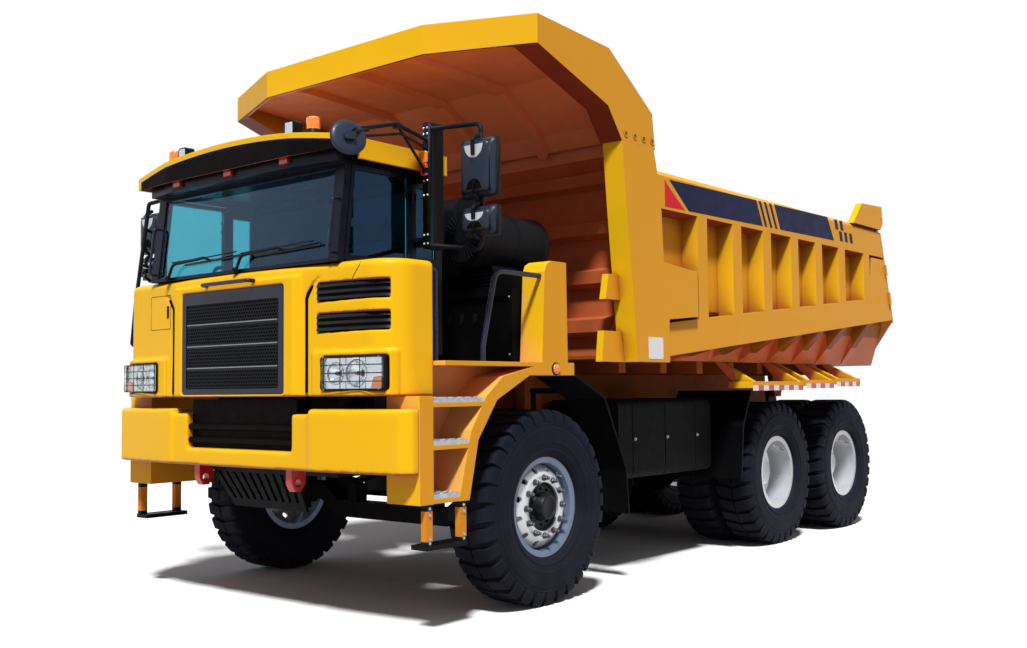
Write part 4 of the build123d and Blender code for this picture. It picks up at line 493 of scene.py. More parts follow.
class Shape:
    """A mesh under construction, in metres in the row's frame, with one finish per part."""

    def __init__(self) -> None:
        """Start with an empty mesh and no finishes."""
        self.mesh = bmesh.new()
        self.finishes: list[Finish] = []
        self.smooth: set[int] = set()

    def _faces(self, rings: Sequence[Sequence[Vector]], finish: Finish, closed: bool, capped: bool) -> None:
        """Skin a run of equal rings of points.

        Args:
            rings: Rings of points, each with as many points as the others.
            finish: Finish of the skin.
            closed: Whether the last ring joins the first.
            capped: Whether the end rings are filled.
        """
        if finish not in self.finishes:
            self.finishes.append(finish)
        index = self.finishes.index(finish)
        rows = [[self.mesh.verts.new(point) for point in ring] for ring in rings]
        made = []
        count = len(rows[0])
        pairs = list(zip(rows, rows[1:] + rows[:1])) if closed else list(zip(rows, rows[1:]))
        for lower, upper in pairs:
            for i in range(count):
                j = (i + 1) % count
                made.append(self.mesh.faces.new((lower[i], lower[j], upper[j], upper[i])))
        if capped:
            made.append(self.mesh.faces.new(list(reversed(rows[0]))))
            made.append(self.mesh.faces.new(rows[-1]))
        for face in made:
            face.material_index = index

    def loft(self, rings: Sequence[Sequence[Vector]], finish: Finish) -> None:
        """Skin and cap a run of rings of points."""
        self._faces(rings, finish, closed=False, capped=True)

    def ring(self, rings: Sequence[Sequence[Vector]], finish: Finish) -> None:
        """Skin a run of rings of points that comes back to its start."""
        self._faces(rings, finish, closed=True, capped=False)

    def sheet(self, points: Sequence[Sequence[Vector]], finish: Finish, flipped: bool = False) -> None:
        """Skin a grid of points, in a shape whose sheets all have one finish."""
        self.finishes = [finish]
        grid = [[self.mesh.verts.new(point) for point in line] for line in points]
        for near, far in zip(grid, grid[1:]):
            for j in range(len(near) - 1):
                quad = (near[j], far[j], far[j + 1], near[j + 1])
                self.mesh.faces.new(tuple(reversed(quad)) if flipped else quad)

    def prism(self, outline: Sequence[Vector], shift: Vector, finish: Finish) -> None:
        """Push an outline along a shift to make a closed slab."""
        self.loft([list(outline), [point + shift for point in outline]], finish)

    def block(self, low: Vector, high: Vector, finish: Finish) -> None:
        """Add a box between two corners."""
        corners = ((low.x, low.y), (high.x, low.y), (high.x, high.y), (low.x, high.y))
        foot = [Vector((x, y, low.z)) for x, y in corners]
        self.prism(foot, Vector((0, 0, high.z - low.z)), finish)

    def turned(self, profile: Sequence[Flat], origin: Vector, axis: Vector, finish: Finish,
               segments: int = 32) -> None:
        """Turn a profile about an axis.

        Args:
            profile: Points as (distance along the axis, radius); a closed run round the solid's section.
            origin: Where the axis starts.
            axis: Direction of the axis.
            finish: Finish of the turned skin.
            segments: Steps round the axis.
        """
        turn = axis.to_track_quat("Z", "Y").to_matrix()
        rings = []
        for step in range(segments):
            angle = 2 * math.pi * step / segments
            spoke = turn @ Vector((math.cos(angle), math.sin(angle), 0))
            rings.append([origin + axis.normalized() * along + spoke * radius for along, radius in profile])
        self._faces(rings, finish, closed=True, capped=False)

    def rod(self, start: Vector, end: Vector, radius: float, finish: Finish, sides: int = 12) -> None:
        """Add a straight round rod with closed ends."""
        self.pipe([start, end], radius, finish, sides)

    def pipe(self, path: Sequence[Vector], radius: float, finish: Finish, sides: int = 12) -> None:
        """Add a round bar along a run of points."""
        rings = []
        for i, point in enumerate(path):
            ahead = path[min(i + 1, len(path) - 1)] - path[max(i - 1, 0)]
            turn = ahead.to_track_quat("Z", "Y").to_matrix()
            rings.append([point + turn @ Vector((math.cos(a), math.sin(a), 0)) * radius
                          for a in (2 * math.pi * k / sides for k in range(sides))])
        self.loft(rings, finish)

    def bolt(self, place: Vector, axis: Vector, across: float, height: float, finish: Finish) -> None:
        """Add a hexagon bolt head with its washer."""
        axis = axis.normalized()
        self.turned([(-0.002, 0.0), (-0.002, across * 0.68), (0.003, across * 0.68), (0.003, 0.0)], place,
                    axis, finish, 16)
        self.turned([(0.0, 0.0), (0.0, across / 2), (height * 0.85, across / 2), (height, across * 0.4),
                     (height, 0.0)], place, axis, finish, 6)

    def finish(self, name: str, body: str, slot: str, bevel: float = 0.0, smooth_deg: float = 35.0,
               replaces: Sequence[str] = ()) -> bpy.types.Object:
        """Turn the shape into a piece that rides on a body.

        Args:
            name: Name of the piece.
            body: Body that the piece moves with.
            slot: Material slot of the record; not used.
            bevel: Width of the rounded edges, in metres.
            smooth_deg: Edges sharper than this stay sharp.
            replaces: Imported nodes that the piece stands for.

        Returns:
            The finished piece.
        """
        bmesh.ops.remove_doubles(self.mesh, verts=self.mesh.verts, dist=1e-5)
        bmesh.ops.recalc_face_normals(self.mesh, faces=self.mesh.faces)
        data = bpy.data.meshes.new(name)
        self.mesh.to_mesh(data)
        self.mesh.free()
        piece = add_object(name, data)
        for finish in self.finishes:
            data.materials.append(finish.build())
        if bevel:
            rounded = piece.modifiers.new("rounded_edges", "BEVEL")
            rounded.width = bevel
            rounded.segments = 2
            rounded.limit_method = "ANGLE"
            rounded.angle_limit = math.radians(30)
        data.shade_smooth()
        data.set_sharp_from_angle(angle=math.radians(smooth_deg))
        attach(piece, body)
        if replaces:
            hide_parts(*replaces)
        log.info("%s: %d faces on %s", name, len(data.polygons), body)
        return piece


def arc_path(points: Sequence[Vector], bend: float, steps: int = 6) -> list[Vector]:
    """Round the corners of a run of points.

    Args:
        points: Corner points of the run.
        bend: Distance from each corner at which its bend starts.
        steps: Points in each bend.

    Returns:
        The run with a curve at each corner.
    """
    path = [points[0]]
    for before, corner, after in zip(points, points[1:], points[2:]):
        start = corner + (before - corner).normalized() * bend
        end = corner + (after - corner).normalized() * bend
        for step in range(steps + 1):
            share = step / steps
            path.append(start * (1 - share) ** 2 + corner * 2 * share * (1 - share) + end * share ** 2)
    path.append(points[-1])
    return path


def paint(finish: Finish, *nodes: str) -> None:
    """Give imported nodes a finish."""
    for name in nodes:
        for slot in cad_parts[name].material_slots:
            slot.material = finish.build()


def soften(node: str, body: str, finish: Finish, voxel_mm: float, rounds: int) -> None:
    """Stand in for a packed pressing with the same form, its edges rounded as a press leaves them.

    Args:
        node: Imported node.
        body: Body that the node moves with.
        finish: Finish of the pressing.
        voxel_mm: Size of the steps that the form is taken in.
        rounds: Passes of smoothing; more give rounder edges.
    """
    piece = add_object(f"{node}_pressing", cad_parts[node].data.copy())
    steps = piece.modifiers.new("steps", "REMESH")
    steps.mode = "VOXEL"
    steps.voxel_size = voxel_mm / 1000
    easing = piece.modifiers.new("easing", "SMOOTH")
    easing.factor = 0.5
    easing.iterations = rounds
    rounded_data = applied(piece)
    piece.modifiers.clear()
    piece.data = rounded_data
    rounded_data.name = piece.name
    rounded_data.materials.clear()
    rounded_data.materials.append(finish.build())
    rounded_data.shade_smooth()
    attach(piece, body)
    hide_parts(node)
    log.info("%s: %d faces on %s", piece.name, len(rounded_data.polygons), body)


# ---- Studio -----------------------------------------------------------------------------


@dataclass
class Studio:
    """White floor, soft daylight and the camera."""

    camera_place: Point = (6.365, -6.205, 1.511)
    turn_deg: float = 39.592
    rise_deg: float = 3.399
    roll_deg: float = 0.574
    lens_mm: float = 38.81
    sun_turn_deg: float = 38.0
    sun_rise_deg: float = 56.0
    sun_strength: float = 4.4
    sky_strength: float = 0.21
    floor_radius: float = 14.0
    floor_bounce: str = "#B4A098"

    def build(self) -> None:
        """Set up the view, the light and the floor."""
        scene = bpy.context.scene
        scene.view_settings.view_transform = "Standard"
        self.place_camera(scene)
        self.place_sun()
        self.set_sky(scene)
        self.lay_floor()

    def place_camera(self, scene: bpy.types.Scene) -> None:
        """Stand the camera off the truck's front left corner at about chest height."""
        turn, rise, roll = (math.radians(a) for a in (self.turn_deg, self.rise_deg, self.roll_deg))
        ahead = Vector((-math.sin(turn) * math.cos(rise), math.cos(turn) * math.cos(rise), math.sin(rise)))
        level = Vector((math.cos(turn), math.sin(turn), 0))
        up = level.cross(ahead)
        right = math.cos(roll) * level - math.sin(roll) * up
        top = math.sin(roll) * level + math.cos(roll) * up
        lens = bpy.data.cameras.new("camera")
        lens.sensor_width = 36
        lens.lens = self.lens_mm
        lens.clip_end = 200
        camera = add_object("camera", lens)
        camera.matrix_world = Matrix.Translation(at(*self.camera_place)) @ Matrix(
            (right, top, -ahead)).transposed().to_4x4()
        scene.camera = camera

    def place_sun(self) -> None:
        """Light the truck from ahead of its left side with a broad soft sun."""
        light = bpy.data.lights.new("sun", "SUN")
        light.energy = self.sun_strength
        light.angle = math.radians(7)
        sun = add_object("sun", light)
        turn, rise = math.radians(self.sun_turn_deg), math.radians(self.sun_rise_deg)
        towards = Vector((math.sin(turn) * math.cos(rise), -math.cos(turn) * math.cos(rise), math.sin(rise)))
        sun.rotation_euler = towards.to_track_quat("Z", "Y").to_euler()

    def set_sky(self, scene: bpy.types.Scene) -> None:
        """Even pale light from all round, and pure white wherever the surroundings are seen."""
        world = bpy.data.worlds.new("sky")
        tree = empty_tree(world)
        shown = watched(tree)
        lit = add_node(tree, "ShaderNodeBackground", inputs={0: linear("#F4F8FF"), 1: self.sky_strength})
        white = add_node(tree, "ShaderNodeBackground", inputs={0: linear("#FFFFFF"), 1: 1.0})
        mix = add_node(tree, "ShaderNodeMixShader", inputs={0: shown, 1: lit.outputs[0], 2: white.outputs[0]})
        add_node(tree, "ShaderNodeOutputWorld", inputs={0: mix.outputs[0]})
        scene.world = world

    def lay_floor(self) -> None:
        """Pale floor that keeps the truck's shadow and fades into the white surroundings at its rim."""
        floor_mesh = bpy.data.meshes.new("floor")
        shape = bmesh.new()
        bmesh.ops.create_circle(shape, cap_ends=True, segments=96, radius=self.floor_radius)
        shape.to_mesh(floor_mesh)
        shape.free()
        material = bpy.data.materials.new("white_floor")
        tree = empty_tree(material)
        place = add_node(tree, "ShaderNodeTexCoord").outputs["Object"]
        away = add_node(tree, "ShaderNodeVectorMath", {"operation": "LENGTH"}, {0: place}).outputs["Value"]
        fade = spread(tree, away, self.floor_radius * 0.6, self.floor_radius)
        colour = blend(tree, watched(tree), linear(self.floor_bounce), linear("#FBFBFB"))
        matt = add_node(tree, "ShaderNodeBsdfDiffuse", inputs={0: colour})
        clear = add_node(tree, "ShaderNodeBsdfTransparent")
        mix = add_node(tree, "ShaderNodeMixShader", inputs={0: fade, 1: matt.outputs[0], 2: clear.outputs[0]})
        add_node(tree, "ShaderNodeOutputMaterial", inputs={0: mix.outputs[0]})
        floor_mesh.materials.append(material)
        floor = add_object("floor", floor_mesh)
        floor.location.z = -0.001


# ---- Wheels -----------------------------------------------------------------------------


@dataclass
class Tyres:
    """Earthmover tyres with a deep lug tread, one at each front wheel and two at each of the others."""

    radius: float = 0.685
    half_width: float = 0.1875
    bead_radius: float = 0.318
    bead_half: float = 0.127
    lug_count: int = 32
    lug_length: float = 0.094
    lug_curve: float = 0.034
    draft: float = 0.006
    # Sidewall from the rim to the tread's foot: inset from the outer face and radius, with its moulded rings.
    sidewall: tuple[Flat, ...] = (
        (0.050, 0.345), (0.044, 0.360), (0.030, 0.368), (0.021, 0.385), (0.012, 0.398), (0.010, 0.404),
        (0.015, 0.409), (0.012, 0.425), (0.006, 0.450), (0.003, 0.453), (0.003, 0.457), (0.004, 0.461),
        (0.001, 0.490), (0.000, 0.515), (0.002, 0.545), (0.000, 0.548), (0.000, 0.553), (0.004, 0.557),
        (0.008, 0.580), (0.005, 0.583), (0.006, 0.588), (0.011, 0.592), (0.015, 0.612), (0.022, 0.632),
        (0.036, 0.652), (0.060, 0.658),
    )
    # Lug's skin and foot from its low end on the sidewall to the tread's middle: inset, radius, foot inset,
    # radius.
    lug_run: tuple[tuple[float, float, float, float], ...] = (
        (0.012, 0.580, 0.045, 0.575), (0.006, 0.600, 0.045, 0.590), (0.006, 0.614, 0.046, 0.604),
        (0.012, 0.645, 0.050, 0.620), (0.018, 0.664, 0.055, 0.632), (0.029, 0.679, 0.062, 0.640),
        (0.040, 0.685, 0.070, 0.640), (0.075, 0.685, 0.090, 0.640), (0.110, 0.685, 0.120, 0.640),
        (0.150, 0.685, 0.150, 0.640), (0.182, 0.685, 0.182, 0.640),
    )

    def build(self) -> None:
        """Build every wheel's tyres on the nodes that carry them."""
        for side in SIDES:
            for node, body in ((f"front_tyre_{side}", f"front_wheel_{side}"),
                               (f"middle_tyres_{side}", f"middle_wheels_{side}"),
                               (f"rear_tyres_{side}", f"rear_wheels_{side}")):
                low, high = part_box(node)
                axle_y = (low.y + high.y) / 2
                shape = Shape()
                for x in sorted({round(low.x + self.half_width, 4), round(high.x - self.half_width, 4)}):
                    centre = Vector((x, axle_y, AXLE.z))
                    self.carcass(shape, centre)
                    self.lugs(shape, centre)
                shape.finish(f"{node}_tread", body, "tyre_rubber", bevel=0.0025, smooth_deg=32,
                             replaces=[node])

    def carcass(self, shape: Shape, centre: Vector) -> None:
        """Turn the carcass with its beads, moulded rings and the tread's floor."""
        near = [(self.half_width - inset, radius) for inset, radius in self.sidewall]
        profile = [(self.bead_half, self.bead_radius)] + near
        profile += [(-along, radius) for along, radius in reversed(profile)]
        shape.turned(profile, centre, ACROSS, TYRE_RUBBER, 96)

    def lugs(self, shape: Shape, centre: Vector) -> None:
        """Set the lugs round the tread, each in two halves that curve back towards the shoulder."""
        for side in (1, -1):
            for step in range(self.lug_count):
                angle = 2 * math.pi * step / self.lug_count
                rings = []
                for inset, radius, foot_inset, foot_radius in self.lug_run:
                    inward = min(inset / self.half_width, 1.0)
                    shift = self.lug_curve * inward ** 1.4
                    half = self.lug_length / 2 * (0.86 + 0.16 * inward)
                    ring = []
                    for away, reach, grow in ((foot_inset, foot_radius, self.draft), (inset, radius, 0.0)):
                        pair = [(shift - half - grow, away, reach), (shift + half + grow, away, reach)]
                        ring += pair if not ring else reversed(pair)
                    rings.append([self.around(centre, side * (self.half_width - away), reach,
                                              angle + along / reach) for along, away, reach in ring])
                shape.loft(rings, TYRE_RUBBER)

    def around(self, centre: Vector, along: float, radius: float, angle: float) -> Vector:
        """Point at a radius and an angle round the wheel's axle."""
        return centre + Vector((along, radius * math.sin(angle), -radius * math.cos(angle)))


@dataclass
class Rims:
    """Silver rims: dished discs with hand holes in front, deep dishes between the twins, nuts and valves."""

    nut_count: int = 12
    nut_across: float = 0.036
    nut_height: float = 0.034
    front_nut_circle: float = 0.203
    hole_circle: float = 0.262
    hole_radius: float = 0.021
    twin_nut_circle: float = 0.192
    twin_nut_face: float = 0.062
    # Section of the barrel with its flanges: distance from the wheel's middle and radius.
    barrel: tuple[Flat, ...] = (
        (-0.139, 0.3040), (-0.139, 0.3555), (-0.132, 0.3555), (-0.128, 0.338), (-0.122, 0.3178),
        (0.122, 0.3178),
        (0.128, 0.338), (0.132, 0.3555), (0.139, 0.3555), (0.140, 0.346), (0.135, 0.326), (0.127, 0.309),
        (0.110, 0.3040),
    )
    disc: tuple[Flat, ...] = (
        (0.030, 0.3045), (0.056, 0.298), (0.080, 0.284), (0.104, 0.262), (0.120, 0.240), (0.127, 0.226),
        (0.128, 0.222), (0.128, 0.176), (0.125, 0.171), (0.108, 0.171), (0.108, 0.222), (0.090, 0.252),
        (0.058, 0.282), (0.020, 0.3045),
    )
    hub: tuple[Flat, ...] = (
        (0.020, 0.158), (0.100, 0.158), (0.104, 0.150), (0.104, 0.104), (0.120, 0.096),
        (0.164, 0.090), (0.174, 0.082), (0.176, 0.070), (0.168, 0.064), (0.164, 0.058), (0.164, 0.0),
        (0.150, 0.0),
        (0.150, 0.048), (0.020, 0.048),
    )

    def build(self) -> None:
        """Build the front rims anew and fit nuts and valves to the twins."""
        for side, sign in SIDES.items():
            low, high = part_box(f"front_tyre_{side}")
            centre = Vector(((low.x + high.x) / 2, AXLE.y, AXLE.z))
            self.front(side, sign, centre)
            for axle in ("middle", "rear"):
                self.twins(side, sign, axle)

    def front(self, side: str, sign: int, centre: Vector) -> None:
        """Rim, pierced disc, hub and nuts of a front wheel."""
        outward = Vector((sign, 0, 0))
        shape = Shape()
        # The barrel's darker, bluer lacquer is painted shade.
        shape.turned(self.barrel, centre, outward, RIM_BARREL_SHADE, 96)
        rim = shape.finish(f"front_rim_{side}_barrel", f"front_wheel_{side}", "silver_rim", smooth_deg=40,
                           replaces=[f"front_rim_{side}"])
        plate = Shape()
        plate.turned(self.disc, centre, outward, RIM_SILVER, 96)
        disc = plate.finish(f"front_rim_{side}_disc", f"front_wheel_{side}", "silver_rim", smooth_deg=40)
        drill = Shape()
        for step in range(self.nut_count):
            spoke = self.spoke(step + 0.5)
            drill.rod(centre + spoke * self.hole_circle, centre + spoke * self.hole_circle + outward * 0.2,
                      self.hole_radius, RIM_SILVER, 20)
        carve(disc, drill)
        iron = Shape()
        iron.turned(self.hub, centre, outward, HUB_IRON, 64)
        for step in range(self.nut_count):
            spoke = self.spoke(step)
            self.nut(iron, centre + spoke * self.front_nut_circle + outward * 0.128, outward)
            iron.bolt(centre + spoke * 0.128 + outward * 0.103, outward, 0.022, 0.016, HUB_IRON)
        iron.finish(f"front_hub_{side}", f"front_wheel_{side}", "silver_rim", smooth_deg=40)
        self.valve(f"front_wheel_{side}", rim.name, centre + outward * 0.10, outward)

    def twins(self, side: str, sign: int, axle: str) -> None:
        """Nuts and hub bolts in the dish of a twin wheel."""
        low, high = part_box(f"{axle}_tyres_{side}")
        outward = Vector((sign, 0, 0))
        middle = Vector(((low.x + high.x) / 2, (low.y + high.y) / 2, AXLE.z))
        iron = Shape()
        for step in range(self.nut_count):
            spoke = self.spoke(step)
            self.nut(iron, middle + spoke * self.twin_nut_circle + outward * (self.twin_nut_face - 0.002),
                     outward)
            iron.bolt(middle + spoke * 0.140 + outward * 0.155, outward, 0.022, 0.012, HUB_IRON)
        iron.finish(f"{axle}_nuts_{side}", f"{axle}_wheels_{side}", "silver_rim", smooth_deg=40)
        outer = Vector((high.x - 0.1875 if sign > 0 else low.x + 0.1875, middle.y, middle.z))
        self.valve(f"{axle}_wheels_{side}", f"{axle}_rim_{side}", outer + outward * 0.09, outward)

    def nut(self, shape: Shape, place: Vector, outward: Vector) -> None:
        """Wheel nut on its washer, with the stud's end showing."""
        shape.bolt(place, outward, self.nut_across, self.nut_height, NUT_STEEL)
        shape.turned([(0.0, 0.0), (0.0, 0.011), (self.nut_height + 0.014, 0.011),
                      (self.nut_height + 0.018, 0.007), (self.nut_height + 0.018, 0.0)], place, outward,
                     NUT_STEEL, 12)

    def valve(self, body: str, name: str, start: Vector, outward: Vector) -> None:
        """Bent valve stem on the barrel's inner face."""
        stem = Shape()
        spoke = self.spoke(1.35)
        foot = start + spoke * 0.304
        stem.pipe(arc_path([foot, foot - spoke * 0.03, foot - spoke * 0.034 + outward * 0.05], 0.015), 0.005,
                  ZINC_BOLT, 10)
        stem.finish(f"{name}_valve", body, "silver_rim")

    def spoke(self, step: float) -> Vector:
        """Direction of a nut's spoke, counted round the wheel."""
        angle = 2 * math.pi * step / self.nut_count
        return Vector((0, math.sin(angle), math.cos(angle)))


def carve(piece: bpy.types.Object, tool: Shape) -> None:
    """Cut a tool's shape out of a piece."""
    data = bpy.data.meshes.new("cutting_tool")
    bmesh.ops.recalc_face_normals(tool.mesh, faces=tool.mesh.faces)
    tool.mesh.to_mesh(data)
    tool.mesh.free()
    cutter = add_object("cutting_tool", data)
    cut = piece.modifiers.new("cut", "BOOLEAN")
    cut.operation = "DIFFERENCE"
    cut.solver = "EXACT"
    cut.object = cutter
    carved = applied(piece)
    piece.modifiers.remove(cut)
    piece.data = carved
    bpy.data.objects.remove(cutter)
    carved.set_sharp_from_angle(angle=math.radians(40))


# ---- Front ------------------------------------------------------------------------------


def rounded(half_u: float, half_v: float, bend: float, steps: int = 4) -> list[Flat]:
    """Outline of a rectangle with rounded corners, about its middle.

    Args:
        half_u: Half its width.
        half_v: Half its height.
        bend: Radius of its corners.
        steps: Points on each corner.

    Returns:
        The outline's points.
    """
    points = []
    for quarter, (u, v) in enumerate(((1, 1), (-1, 1), (-1, -1), (1, -1))):
        for step in range(steps + 1):
            angle = math.pi / 2 * (quarter + step / steps)
            points.append((u * (half_u - bend) + bend * math.cos(angle),
                           v * (half_v - bend) + bend * math.sin(angle)))
    return points


@dataclass
class Face:
    """A flat place on the truck with its own axes, for fitting trim to it."""

    origin: Vector
    across: Vector
    up: Vector

    def __post_init__(self) -> None:
        """Square up the axes."""
        self.across = self.across.normalized()
        self.out = self.across.cross(self.up).normalized()
        self.up = self.out.cross(self.across)

    def place(self, u: float, v: float, out: float = 0.0) -> Vector:
        """Point across, up and out from the face's origin."""
        return self.origin + self.across * u + self.up * v + self.out * out

    def loop(self, outline: Sequence[Flat], out: float = 0.0) -> list[Vector]:
        """An outline laid on the face."""
        return [self.place(u, v, out) for u, v in outline]

    def slab(self, shape: Shape, outline: Sequence[Flat], low: float, high: float,
             finish: Finish) -> None:
        """Add a slab between two heights over the face."""
        shape.loft([self.loop(outline, low), self.loop(outline, high)], finish)

    def frame(self, shape: Shape, outer: Sequence[Flat], inner: Sequence[Flat],
              low: float, high: float, finish: Finish) -> None:
        """Add a frame between two outlines and two heights."""
        shape.ring([self.loop(outer, low), self.loop(outer, high), self.loop(inner, high),
                    self.loop(inner, low)], finish)


@dataclass
class Grille:
    """Gloss frame, four bands of hexagonal mesh and the silver lines between them."""

    half_width: float = 0.5695
    bottom: float = 1.5005
    top: float = 2.2195
    plate_y: float = -1.564
    mesh_half_width: float = 0.522
    mesh_bottom: float = 1.537
    mesh_top: float = 2.136
    bar_heights: tuple[float, ...] = (1.681, 1.835, 1.989)
    bar_half: float = 0.013
    cell: float = 0.027
    hole_share: float = 0.70
    mesh_depth: float = 0.010

    def build(self) -> None:
        """Build the frame, the mesh and the lines."""
        front = Face(at(0, self.plate_y, 0), ACROSS, UP)
        shape = Shape()
        middle = (self.top + self.bottom) / 2
        outer = [(u, v + middle) for u, v in rounded(self.half_width, (self.top - self.bottom) / 2, 0.028)]
        opening = (self.mesh_top + self.mesh_bottom) / 2
        inner = [(u, v + opening)
                 for u, v in rounded(self.mesh_half_width, (self.mesh_top - self.mesh_bottom) / 2, 0.012)]
        front.frame(shape, outer, inner, 0.0, 0.011, FRAME_NAVY)
        # Near-black sheet behind the mesh: painted shade in its holes.
        front.slab(shape, inner, 0.0004, 0.0012, SHADE_BLACK)
        shape.finish("grille_frame", "chassis", "chassis_black", bevel=0.003)
        self.mesh(front)
        lines = Shape()
        for height in self.bar_heights:
            bar = [(u, v + height) for u, v in rounded(self.mesh_half_width, self.bar_half, 0.002, 1)]
            front.slab(lines, bar, 0.0, 0.009, GLOSS_BLACK)
            strip = [(u, v + height + 0.004)
                     for u, v in rounded(self.mesh_half_width - 0.012, 0.0035, 0.001, 1)]
            front.slab(lines, strip, 0.008, 0.0125, STRIP_SILVER)
        lines.finish("grille_lines", "chassis", "chassis_black", bevel=0.0015)

    def mesh(self, front: Face) -> None:
        """Fill the opening with hexagonal cells in rows, each pierced with walls that run back."""
        shape = Shape()
        shape.finishes.append(MESH_GREY)
        size = self.cell / math.sqrt(3)
        row_pitch = size * 1.5
        corners = [(math.sin(math.radians(60 * k)), math.cos(math.radians(60 * k))) for k in range(6)]
        rows = int((self.mesh_top - self.mesh_bottom) / row_pitch) + 1
        columns = int(self.mesh_half_width * 2 / self.cell) + 1
        for row in range(rows):
            v = self.mesh_bottom + row * row_pitch
            for column in range(columns):
                u = -self.mesh_half_width + column * self.cell + (self.cell / 2 if row % 2 else 0.0)
                rings = []
                for share, depth in ((1.0, 0.007), (self.hole_share, 0.007),
                                     (self.hole_share * 0.9, 0.007 - self.mesh_depth)):
                    rings.append([shape.mesh.verts.new(front.place(
                        max(-self.half_width, min(self.half_width, u + size * share * x)),
                        v + size * share * y, depth))
                        for x, y in corners])
                for low, high in zip(rings, rings[1:]):
                    for k in range(6):
                        shape.mesh.faces.new((low[k], low[(k + 1) % 6], high[(k + 1) % 6], high[k]))
        shape.finish("grille_mesh", "chassis", "chassis_black")


@dataclass
class Headlamps:
    """Lamp units with two bowls, an amber indicator, a clear lens and a wire guard."""

    inner: Flat = (0.9305, -1.556)
    outer: Flat = (1.4395, -1.496)
    bottom: float = 1.5205
    top: float = 1.7295
    depth: float = 0.070
    rim: float = 0.007
    bowls: tuple[Flat, ...] = ((-0.150, 0.070), (0.020, 0.088))
    grid: tuple[int, int] = (60, 26)
    shallow: float = 0.014
    bowl_depth: float = 0.048
    guard_rows: tuple[float, ...] = (-0.052, 0.0, 0.052)
    guard_posts: tuple[float, ...] = (-0.086, 0.075)

    def build(self) -> None:
        """Build the lamp of each side in place of its plain solid."""
        for index, (side, sign) in enumerate(SIDES.items()):
            start, end = (at(sign * x, y, 0) for x, y in (self.inner, self.outer))
            across = (end - start) * sign
            origin = (start + end) / 2 + Vector((0, 0, (self.bottom + self.top) / 2))
            self.unit(side, sign, Face(origin, across, UP), across.length / 2, index == 0)

    def unit(self, side: str, sign: int, face: Face, half: float, replaces: bool) -> None:
        """Housing, reflector, indicator, lens and guard of one lamp.

        Args:
            side: Side of the truck.
            sign: 1 on the left, -1 on the right.
            face: The lamp's front.
            half: Half the lamp's width.
            replaces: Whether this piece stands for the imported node.
        """
        tall = (self.top - self.bottom) / 2
        outer, inner = rounded(half, tall, 0.012), rounded(half - self.rim, tall - self.rim, 0.008)
        body = Shape()
        face.frame(body, outer, inner, -self.depth - 0.01, 0.002, MOULDED_BLACK)
        face.slab(body, outer, -self.depth - 0.016, -self.depth - 0.008, MOULDED_BLACK)
        body.finish(f"headlamp_{side}_housing", "chassis", "chassis_black", bevel=0.002,
                    replaces=["headlights"] if replaces else [])
        bowl = Shape()
        columns, rows = self.grid
        bowl.sheet([[self.dished(face, sign, (half - self.rim) * (2 * i / columns - 1),
                                 (tall - self.rim) * (2 * j / rows - 1)) for j in range(rows + 1)]
                    for i in range(columns + 1)], REFLECTOR)
        for centre, radius in self.bowls:
            place = face.place(centre * sign, 0, -0.055)
            bowl.turned([(0, 0), (0, 0.014), (0.020, 0.014), (0.034, 0.010), (0.040, 0.0)], place, face.out,
                        GLOSS_BLACK, 20)
            bowl.turned([(0.024, radius * 0.93), (0.044, radius * 0.96), (0.046, radius * 0.90),
                         (0.026, radius * 0.88)], place, face.out, REFLECTOR, 40)
        bowl.finish(f"headlamp_{side}_reflector", "chassis", "silver_rim", smooth_deg=60)
        amber = Shape()
        corner = [(0.245, -0.094), (0.245, -0.030), (0.205, -0.020), (0.168, -0.028), (0.150, -0.094)]
        face.slab(amber, [(u * sign, v) for u, v in corner], -0.014, -0.004, AMBER_LENS)
        amber.finish(f"headlamp_{side}_indicator", "chassis", "amber_lens", bevel=0.002)
        lens = Shape()
        face.slab(lens, inner, -0.003, 0.001, LAMP_LENS)
        lens.finish(f"headlamp_{side}_lens", "chassis", "cab_window")
        self.guard(side, face, half, tall)

    def dished(self, face: Face, sign: int, u: float, v: float) -> Vector:
        """Point on the reflector, which sinks into a bowl about each bulb."""
        sunk = self.shallow
        for centre, radius in self.bowls:
            away = math.hypot(u * sign - centre, v) / radius
            if away < 1:
                sunk = max(sunk, self.shallow + self.bowl_depth * (1 - away ** 2))
        return face.place(u, v, -sunk)

    def guard(self, side: str, face: Face, half: float, tall: float) -> None:
        """Black wire guard on short stand-offs in front of the lens."""
        wires = Shape()
        for v in self.guard_rows:
            wires.rod(face.place(-half + 0.006, v, 0.012), face.place(half - 0.006, v, 0.012), 0.0028,
                      GLOSS_BLACK, 8)
        for u in self.guard_posts:
            wires.rod(face.place(u, -tall + 0.006, 0.015), face.place(u, tall - 0.006, 0.015), 0.0028,
                      GLOSS_BLACK, 8)
        rim = [face.place(u, v, 0.012) for u, v in rounded(half - 0.004, tall - 0.004, 0.012, 3)]
        wires.pipe(rim + rim[:1], 0.004, GLOSS_BLACK, 8)
        for u in (-half + 0.03, half - 0.03):
            for v in (-tall + 0.004, tall - 0.004):
                wires.rod(face.place(u, v, -0.006), face.place(u, v, 0.016), 0.004, ZINC_BOLT, 8)
        wires.finish(f"headlamp_{side}_guard", "chassis", "chassis_black")


